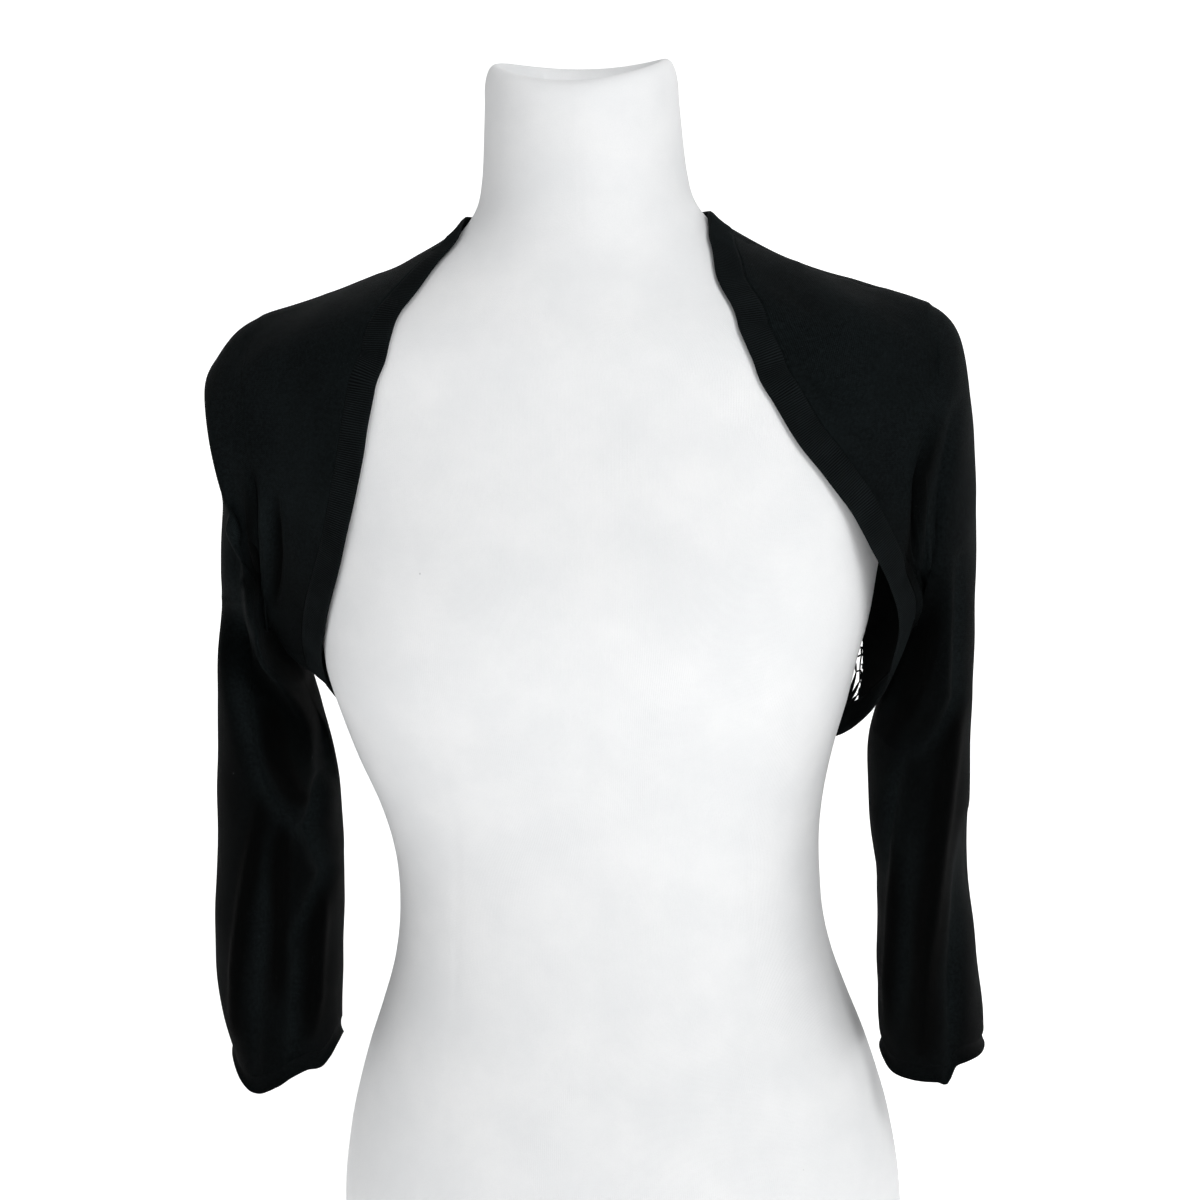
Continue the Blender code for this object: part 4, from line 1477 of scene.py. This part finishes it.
    @staticmethod
    def half_ring(row: Sequence[float], turns: Array, towards: int) -> Array:
        """Half of a sleeve's ring.

        Args:
            row: A row of the sleeve's table.
            turns: From 0 at its outermost point to pi at its innermost.
            towards: -1 for the front's half and +1 for the back's.

        Returns:
            Points in metres on a leaning superellipse.
        """
        top_x, top_z, bottom_x, bottom_z, middle, half_depth = row
        along = squared_off(np.cos(turns), ARMHOLE_FULLNESS)
        depth = half_depth * squared_off(np.sin(turns), ARMHOLE_FULLNESS)
        x = (top_x + bottom_x) / 2 + (top_x - bottom_x) / 2 * along
        z = (top_z + bottom_z) / 2 + (top_z - bottom_z) / 2 * along
        return np.stack([x, middle + towards * depth, z], -1) * MM

    def join_armhole(self, side: Side) -> None:
        """Makes the front, the yoke and the side strip smooth with the sleeve over one armhole."""
        rings = self.rings[side]
        base = rings.copy()

        def joined(lines: Array, index: Array, turns: Array, most: float) -> Array:
            """Smooths lines of the body and the sleeve's lines at an index; returns the body's."""
            body, sleeve = bridged(lines, base[:, index].swapaxes(0, 1), turns, most)
            rings[:, index] = sleeve.swapaxes(0, 1)
            return body

        half = YOKE_LINES + SIDE_LINES
        front = f"front_{side.value}"
        most = self.most_smoothed
        self.points[front] = joined(self.points[front], np.arange(half + 1), arm_turns(-1), most)
        back = np.append((2 * half - np.arange(half)) % (2 * half), half)
        turns = arm_turns(1)
        width = self.across + 1
        yoke = self.points["back_yoke"]
        part = yoke[:, -width:] if side is Side.RIGHT else yoke[:, :width][:, ::-1]
        part[...] = joined(part, back[: YOKE_LINES + 1], turns[: YOKE_LINES + 1], most)
        strip = self.points[f"back_side_{side.value}"][: SIDE_LINES + 1, ::-1]
        strip[...] = joined(strip, back[YOKE_LINES:], turns[YOKE_LINES:], self.most_on_strip)


@dataclass
class Panels:
    """The plain panels of the body: two fronts, the yoke and the two side strips of the back."""

    maker: Maker
    finish: Finish
    cut: Cut
    thickness: float = 1.2 * MM
    # Each panel's cut: width and length in metres, its share of that rectangle, and whether its
    # grid looks inward.
    sizes: tuple[tuple[str, float, float, float, bool], ...] = (
        ("front_left", 0.15, 0.25, 0.43, False),
        ("front_right", 0.15, 0.25, 0.43, True),
        ("back_yoke", 0.44, 0.115, 0.8, True),
        ("back_side_left", 0.05, 0.21, 0.55, True),
        ("back_side_right", 0.05, 0.21, 0.55, False),
    )

    def build(self) -> None:
        """Builds the panels between the lines of their CAD solids."""
        for name, width, length, share, turned in self.sizes:
            points = self.cut.points[name]
            lift = drape(points)
            points = points + self.cut.ways[name] * lift[..., None]
            piece = self.maker.grid(f"{name}_knit", points, self.finish, turned=turned)
            # The knit paints shade from this lift: darker in the folds' hollows and low down.
            self.maker.mark(piece, lift / MM + lower_shade(points))
            self.maker.wall(piece, self.thickness)
            self.maker.place(piece, "knit", name)


@dataclass
class RibBand:
    """The band round the whole opening, knitted with its ribs square to the edge."""

    maker: Maker
    finish: Finish
    opening: Opening
    thickness: float = 1.6 * MM
    rib: float = 1.3 * MM
    rib_height: float = 0.2 * MM
    stations_per_rib: int = 5
    across: int = 8
    seam_gap: float = 0.1 * MM
    # The section: how far its free edge is rounded in and its outer edge trimmed, and how thick its
    # edges are beside its middle.
    rounded_in: float = 0.35 * MM
    trimmed: float = 0.5 * MM
    edge_thickness: float = 0.62
    # The share of a run that is left free at each of its ends, for the seam.
    end_gap: float = 0.0008

    def profile(self) -> tuple[Array, Array, Array]:
        """The band's section.

        Returns:
            For each point round it, the share of the width, the height off the middle in metres and
            how much of the ribs shows there. The free edge is rounded, and the outer edge is
            thinner, for the seam.
        """
        share = np.linspace(0, 1, self.across + 1)
        end = BAND_WIDTH - self.seam_gap
        width = (self.rounded_in + share * (end - self.trimmed)) / BAND_WIDTH
        inwards = np.minimum(share, (1 - share) * 0.8)
        half = self.thickness / 2 * np.minimum(1, self.edge_thickness + 12 * inwards)
        ribs = np.clip(np.minimum(share, 1 - share) * 14, 0, 1)
        widths = np.concatenate([width, [end / BAND_WIDTH], width[::-1], [0]])
        heights = np.concatenate([half, [0], -half[::-1], [0]])
        shows = np.concatenate([ribs, [0], -ribs[::-1], [0]])
        return widths, heights, shows

    def build(self) -> None:
        """Builds the four runs: the section carried along each, with a cosine wave for the ribs."""
        for run in ("neck", "front_left", "front_right", "hem"):
            node = f"band_{run}"
            length = self.opening.run_length(run)
            count = round(length / self.rib) * self.stations_per_rib
            shares = np.linspace(self.end_gap, 1 - self.end_gap, count + 1)
            edge, outer = self.opening.sampled(run, shares)
            width, height, shows = self.profile()
            share = width[:, None, None]
            places = edge[None] * (1 - share) + outer[None] * share
            points = on_body(places)
            normal = surface_frame(places)[0]
            wave = np.cos(np.arange(count + 1) * FULL_TURN / self.stations_per_rib)
            ribs = shows[:, None] * wave[None] * self.rib_height
            lift = height[:, None] + ribs + drape(points, 0.8)
            grid = (points + normal * lift[..., None]).swapaxes(0, 1)
            piece = self.closed_strip(f"{node}_ribs", grid)
            self.maker.place(piece, "rib", node)

    def closed_strip(self, name: str, grid: Array) -> Piece:
        """A closed bar from rings of its section, with its two ends shut."""
        stations, ring = grid.shape[:2]
        faces = grid_faces(stations, ring, True)[:, ::-1]
        flat = flat_lengths(grid, True)[..., ::-1]
        flat[..., 0] = (np.arange(stations) * self.rib / self.stations_per_rib)[:, None]
        corner = flat.reshape(-1, 2)[grid_faces(stations, ring + 1, False)[:, ::-1]].reshape(-1, 2)
        ends = np.arange(ring)
        caps = [ends.tolist(), (ends[::-1] + (stations - 1) * ring).tolist()]
        piece = self.maker.mesh(name, grid, faces.tolist() + caps, self.finish)
        self.maker.lay_flat(piece, np.concatenate([corner, np.zeros((2 * ring, 2))]))
        return piece


@dataclass
class Sleeve:
    """A three-quarter sleeve that hangs empty, with its narrow turned hem."""

    maker: Maker
    finish: Finish
    side: Side
    cut: Cut
    # How far the hem drops below the last ring, in mm, at turns from the outermost point by the
    # front.
    drops: tuple[Point, ...]
    # The flat cut: the sleeve's width and length in metres with its share of that rectangle, and
    # the cuff hem's width and length.
    cut_size: Point = (0.245, 0.425)
    cut_share: float = 0.86
    cuff_size: Point = (0.225, 0.012)
    thickness: float = 1.2 * MM
    hem_thickness: float = 2.0 * MM
    hem_rows: int = 14
    hem_lap: float = 1.2 * MM
    hem_depth: float = 11.1 * MM
    middle_drop: float = 9 * MM
    # The share of the sleeve's rows over which the drop sets in.
    drop_share: float = 0.16

    def drop(self, count: int) -> Array:
        """How far the hem drops at each point round, in metres, on a smooth closed curve."""
        table = np.array(self.drops, float)
        front, back = arm_turns(-1), arm_turns(1)
        turns = np.degrees(np.concatenate([front, FULL_TURN - back[-2:0:-1]]))[:count]
        place = np.interp(turns, np.append(table[:, 0], 360), np.arange(len(table) + 1)) + 1
        closed = np.concatenate([table[-1:, 1], table[:, 1], table[:2, 1]])
        return smooth_value(closed, place) * MM

    def build(self) -> None:
        """Builds the sleeve and its hem."""
        right = self.side is Side.RIGHT
        rings, outward = self.cut.rings[self.side], self.cut.ring_ways[self.side]
        lift = drape(rings)
        grid = rings + outward * lift[..., None]
        grid[..., 1] += sum(fold.lift(rings / MM) for fold in HOLLOWS) * MM
        count = len(rings)
        share = np.clip((np.arange(count) / count - 1 + self.drop_share) / self.drop_share, 0, 1)
        grid[..., 2] -= share[:, None] ** 2 * (self.drop(grid.shape[1]) - self.middle_drop)
        hem = self.hem(grid[-1], outward[-1])
        name = f"sleeve_{self.side.value}"
        sleeve = self.maker.grid(f"{name}_knit", grid, self.finish, True, turned=not right)
        # The knit paints shade from this lift: darker in the folds' hollows and low down.
        self.maker.mark(sleeve, lift / MM + lower_shade(rings))
        self.maker.wall(sleeve, self.thickness)
        self.maker.place(sleeve, "knit", name)
        name = f"cuff_hem_{self.side.value}"
        cuff = self.maker.grid(f"{name}_knit", hem, self.finish, True, turned=not right)
        # The cuff's painted shade follows the sleeve's last ring and its height.
        self.maker.mark(cuff, np.full(hem.shape[:2], lift[-1] / MM) + lower_shade(hem))
        self.maker.wall(cuff, self.hem_thickness)
        self.maker.place(cuff, "knit", name)

    def hem(self, last: Array, outward: Array) -> Array:
        """The turned hem: it laps over the sleeve's last ring, swells out a little and curls under.

        Args:
            last: The sleeve's last ring.
            outward: The outward direction at each point of it.

        Returns:
            Rings going down.
        """
        share = np.linspace(0, 1, self.hem_rows)[:, None]
        level_out = unit(outward * (1, 1, 0))
        swell = (0.3 + 1.3 * np.sin(share * math.pi * 0.9) - 0.9 * share**2) * MM
        grid = last[None] + level_out[None] * swell[..., None]
        grid[..., 2] += self.hem_lap - share * self.hem_depth
        return grid


@dataclass
class Seams:
    """The joins between the panels: a thin ridge of linked stitches along each."""

    maker: Maker
    finish: Finish
    cut: Cut
    half_width: float = 0.45 * MM
    sunk: float = 0.3 * MM

    def lines(self) -> list[tuple[Array, Array]]:
        """The seams' lines, with the cloth's outward directions along them."""
        points, ways = self.cut.points, self.cut.ways
        yoke = (points["back_yoke"], ways["back_yoke"])
        found = [(yoke[0][-1], yoke[1][-1])]
        for side in Side:
            front = (points[f"front_{side.value}"], ways[f"front_{side.value}"])
            strip = (points[f"back_side_{side.value}"], ways[f"back_side_{side.value}"])
            found.append((front[0][0], front[1][0]))
            found.append((strip[0][:, -1], strip[1][:, -1]))
            found.append((strip[0][SIDE_LINES:, 0], strip[1][SIDE_LINES:, 0]))
            ring, way = self.cut.rings[side][0], self.cut.ring_ways[side][0]
            found.append((np.concatenate([ring, ring[:1]]), np.concatenate([way, way[:1]])))
        return found

    def build(self) -> None:
        """Builds the ridges as one piece of thin yarn, half sunk in the cloth."""
        paths = []
        for line, way in self.lines():
            points = line + way * (drape(line) + self.sunk)[:, None]
            half = np.full((1, len(line)), self.half_width)
            paths.append((points[None], way[None], half, 0.7))
        piece = self.maker.tubes("linked_seams", paths, 6, self.finish)
        self.maker.place(piece, "knit")


@dataclass
class CrochetBack:
    """The back's crochet: rows of small square holes and fans of leaves, worked in yarn."""

    maker: Maker
    finish: Finish
    cut: Cut
    width: float = 300.0
    height: float = 206.0
    motifs: int = 10
    bands: int = 5
    net_share: float = 0.34
    post_pitch: float = 3.8
    # A fan's leaves: their lengths as shares of its band, and the outer ones' lean in degrees.
    leaf_lengths: tuple[float, ...] = (0.52, 0.68, 0.76, 0.80, 0.76, 0.68, 0.52)
    fan_spread: float = 74
    # Which leaf each loop springs from, and how far it leans, in mm.
    loops_up: tuple[tuple[int, float], ...] = (
        (1, -0.8), (2, 1.6), (3, -1.8), (3, 1.8), (4, -1.6), (5, 0.8),
    )  # fmt: skip
    # The bars between two fans: their ends as shares of the band, and how far they lean, in mm.
    crossings: tuple[Spot, ...] = (
        (0.95, 0.72, 2.4), (0.78, 0.50, -2.6), (0.55, 0.20, 2.2), (0.30, 0.02, -2.0),
    )  # fmt: skip
    # The share of the panel's rectangle that the net's own yarn covers.
    cover: float = 0.42

    def __post_init__(self) -> None:
        """Works out the panel's four border lines."""
        _, hem = self.cut.opening.sampled("hem", self.cut.hem_shares(2, 200))
        self.top = self.cut.yoke_foot(2, 200)[2:-2]
        self.foot = hem[2:-2]
        self.first = self.cut.window_line(self.foot[0], 120)
        self.last = mirrored(self.cut.window_line(mirrored(self.foot[-1]), 120))

    def places(self, u: Array, v: Array) -> Array:
        """Places at shares of the panel's width and height, between its four border lines."""

        def at(line: Array, share: Array) -> Array:
            """Places at shares along a line."""
            step = np.linspace(0, 1, len(line))
            return np.stack([np.interp(share, step, line[:, k]) for k in range(2)], -1)

        u, v = np.clip(u, 0, 1), np.clip(v, 0, 1)
        s, t = u[..., None], v[..., None]
        ruled = at(self.top, u) * (1 - t) + at(self.foot, u) * t + at(self.first, v) * (1 - s)
        ruled = ruled + at(self.last, v) * s
        corners = (self.top[0] * (1 - s) + self.top[-1] * s) * (1 - t)
        return ruled - corners - (self.foot[0] * (1 - s) + self.foot[-1] * s) * t

    def worked(self, lines: Array, half: Array | float, flatness: float) -> Yarns:
        """Flat lines as yarn on the surface.

        Args:
            lines: Paths by stations by (across, down) in mm.
            half: The yarn's half width in mm at each station, or one for each.
            flatness: How thick the yarn is beside its width.

        Returns:
            A batch for Maker.tubes.
        """
        places = self.places(lines[..., 0] / self.width, lines[..., 1] / self.height)
        normal = surface_frame(places)[0]
        points = on_body(places)
        points = points + normal * drape(points)[..., None]
        return points, normal, np.broadcast_to(half, lines.shape[:2]) * MM, flatness

    @staticmethod
    def between(starts: Array, ends: Array, stations: int, bow: float = 0.0) -> Array:
        """Lines from starts to ends, bowed aside by a share of their length, as half a sine."""
        t = np.linspace(0, 1, stations)[None, :, None]
        way = (ends - starts)[:, None]
        side = np.stack([way[..., 1], -way[..., 0]], -1)
        return starts[:, None] + way * t + side * bow * np.sin(t * math.pi)

    def net(self, tops: Array, depth: float) -> list[Yarns]:
        """The rows of small square holes.

        Args:
            tops: How far down each band of net begins, in mm.
            depth: How deep a band is, in mm.

        Returns:
            Batches: level bars, and posts between them at every other stitch.
        """
        levels = np.concatenate([top + np.linspace(0, depth, 4) for top in tops])
        x = np.linspace(0, self.width, 240)
        bars = paired(x[None], levels[:, None] + 0.25 * np.sin(x * 1.6))
        posts_x = np.arange(self.post_pitch / 2, self.width, self.post_pitch)
        rows = np.concatenate([top + np.arange(3) * depth / 3 for top in tops])
        shift = np.tile(np.arange(3) % 2 * self.post_pitch / 2, len(tops))
        starts = paired(posts_x[None] - shift[:, None], rows[:, None]).reshape(-1, 2)
        ends = starts + (0.0, depth / 3)
        return [
            self.worked(bars, 0.62, 0.85),
            self.worked(self.between(starts, ends, 4, 0.08), 0.6, 0.8),
        ]

    def fans(self, tops: Array, depth: float) -> list[Yarns]:
        """The fans of leaves.

        Args:
            tops: How far down each band of fans begins, in mm.
            depth: How deep a band is, in mm.

        Returns:
            Batches: the leaves, which are thick in the middle, the scallops that join their tips,
            the loops up to the net above and the bars that cross between two fans.
        """
        pitch = self.width / self.motifs
        leaves, scallops, loops, bars = [], [], [], []
        spread = np.radians(np.linspace(-self.fan_spread, self.fan_spread, len(self.leaf_lengths)))
        for band, top in enumerate(tops):
            centres = (np.arange(self.motifs) + 0.5) * pitch
            roots = paired(centres, top + depth)
            reach = np.array(self.leaf_lengths) * depth
            way = np.stack([np.sin(spread) * 0.86, -np.cos(spread)], -1) * reach[:, None]
            tips = roots[:, None] + way[None]
            start = roots[:, None] + way[None] * 0.10
            bow = 0.03 * (-1) ** band
            leaves.append(self.between(start.reshape(-1, 2), tips.reshape(-1, 2), 9, bow))
            first, then = (row.reshape(-1, 2) for row in (tips[:, :-1], tips[:, 1:]))
            scallops.append(self.between(first, then, 6, 0.42))
            for leaf, lean in self.loops_up:
                low = tips[:, leaf]
                high = paired(low[:, 0] + lean, top)
                loops.append(self.between(low, high, 5, 0.1 if lean > 0 else -0.1))
            gaps = np.arange(self.motifs + 1) * pitch
            for low, high, lean in self.crossings:
                first = paired(np.clip(gaps - lean, 0, self.width), top + depth * low)
                then = paired(np.clip(gaps + lean, 0, self.width), top + depth * high)
                bars.append(self.between(first, then, 5, 0.15))
            edges = paired(np.clip(gaps, 0, self.width), top + depth * 0.6)
            left = np.concatenate([tips[:, 0], tips[:, 6]])
            bars.append(self.between(left, np.concatenate([edges[:-1], edges[1:]]), 5, 0.1))
        belly = np.sin(np.linspace(0, 1, 9) ** 0.8 * math.pi) ** 0.8
        return [
            self.worked(np.concatenate(leaves), (0.45 + 1.15 * belly)[None], 0.55),
            self.worked(np.concatenate(scallops), 0.58, 0.85),
            self.worked(np.concatenate(loops), 0.5, 0.85),
            self.worked(np.concatenate(bars), 0.52, 0.85),
        ]

    def build(self) -> None:
        """Builds the net with its border, and the fans: together they are the lace panel."""
        pitch = self.height / self.bands
        tops = np.arange(self.bands) * pitch
        net_depth = pitch * self.net_share
        width, height = self.width, self.height
        rims = ((0, 0, 0, height), (width, 0, width, height), (0, height, width, height))
        ends = np.array(rims, float)
        rims = self.between(ends[:, :2], ends[:, 2:], 150)
        yarns = [*self.net(tops, net_depth), self.worked(rims, 0.9, 0.8)]
        net = self.maker.tubes("back_lace_net", yarns, 6, self.finish)
        fans = self.maker.tubes(
            "back_lace_fans", self.fans(tops + net_depth, pitch - net_depth), 6, self.finish
        )
        self.maker.place(net, "lace", "back_lace")
        self.maker.place(fans, "lace")


# ---------------------------------------------------------------- the studio


@dataclass
class Studio:
    """The sweep, the lights and the camera."""

    maker: Maker
    finish: Finish
    turn: float = 6.0
    rise: float = 12.0
    lean: float = 2.0
    distance: float = 2.0
    target: Spot = (0.0, 0.0, 0.425)
    view_width: float = 0.678
    sensor: float = 36.0
    daylight: float = 0.2
    # Each lamp's name, place and side in metres, and power in watts.
    lamps: tuple[tuple[str, Spot, float, float], ...] = (
        ("key", (1.25, -1.7, 2.15), 1.1, 34.5),
        ("fill", (-1.0, -2.4, 1.3), 1.4, 5.2),
        ("top", (0.2, -0.5, 2.6), 1.2, 8.6),
    )

    def sweep(self) -> None:
        """A floor that bends up into a wall behind: a quarter circle joins the two."""
        radius, depth, height, half = 1.2, 3.2, 5.0, 5.0
        bend = np.linspace(0, math.pi / 2, 24)
        y = np.concatenate([[-6.0], depth - radius + radius * np.sin(bend), [depth]])
        z = np.concatenate([[0.0], radius - radius * np.cos(bend), [height]])
        x = np.array([-half, half])
        grid = paired(x[None], y[:, None], z[:, None])
        floor = self.maker.grid("studio_sweep", grid, self.finish, turned=True)

    def lamp(self, name: str, place: Spot, size: float, power: float) -> None:
        """A square soft light at a place, turned towards the form."""
        light = bpy.data.lights.new(name, "AREA")
        light.shape = "SQUARE"
        light.size = size
        light.energy = power
        lamp = bpy.data.objects.new(name, light)
        away = np.array(place, float) - np.array(self.target)
        lamp.matrix_world = self.facing(away, place, 0.0)
        bpy.context.scene.collection.objects.link(lamp)

    @staticmethod
    def facing(away: Array, place: Sequence[float], lean: float) -> Matrix:
        """The placing of a camera or lamp.

        Args:
            away: The direction from what it looks at to itself.
            place: Where it stands.
            lean: Degrees it is turned about its own axis.

        Returns:
            The matrix whose third axis is that direction, and whose first is level before it leans.
        """
        back = away / np.linalg.norm(away)
        right = unit(np.cross((0.0, 0.0, 1.0), back))
        up = np.cross(back, right)
        angle = math.radians(lean)
        across = right * math.cos(angle) - up * math.sin(angle)
        upward = right * math.sin(angle) + up * math.cos(angle)
        matrix = np.eye(4)
        matrix[:3, 0], matrix[:3, 1], matrix[:3, 2], matrix[:3, 3] = across, upward, back, place
        return Matrix(matrix.tolist())

    def camera(self) -> None:
        """The camera: a little to the wearer's left and above, leaning slightly."""
        turn, rise = math.radians(self.turn), math.radians(self.rise)
        back = np.array(
            [math.sin(turn) * math.cos(rise), -math.cos(turn) * math.cos(rise), math.sin(rise)]
        )
        data = bpy.data.cameras.new("camera")
        data.sensor_width = self.sensor
        data.lens = self.sensor * self.distance / self.view_width
        camera = bpy.data.objects.new("camera", data)
        place = np.array(self.target) + back * self.distance
        camera.matrix_world = self.facing(back, place.tolist(), self.lean)
        bpy.context.scene.collection.objects.link(camera)
        bpy.context.scene.camera = camera

    def build(self) -> None:
        """Builds the studio."""
        self.sweep()
        for lamp in self.lamps:
            self.lamp(*lamp)
        world = bpy.data.worlds.new("studio")
        world.use_nodes = True
        world.node_tree.nodes["Background"].inputs["Color"].default_value = (1, 1, 1, 1)
        world.node_tree.nodes["Background"].inputs["Strength"].default_value = self.daylight
        bpy.context.scene.world = world
        bpy.context.scene.view_settings.view_transform = "Standard"
        self.camera()


def main() -> None:
    """Builds the studio, the form and the shrug."""
    maker = Maker()
    jersey = FormJersey().dressed()
    knit = StockingStitch().dressed()
    rib = RibKnit().dressed()
    yarn = CrochetYarn().dressed()
    Studio(maker, PaperSweep().dressed()).build()
    DressForm(maker, jersey).build()
    opening = Opening()
    cut = Cut(opening)
    Panels(maker, knit, cut).build()
    RibBand(maker, rib, opening).build()
    Sleeve(maker, knit, Side.LEFT, cut, LEFT_DROPS).build()
    Sleeve(maker, knit, Side.RIGHT, cut, RIGHT_DROPS).build()
    CrochetBack(maker, yarn, cut).build()
    Seams(maker, knit, cut).build()


if __name__ == "__main__":
    main()
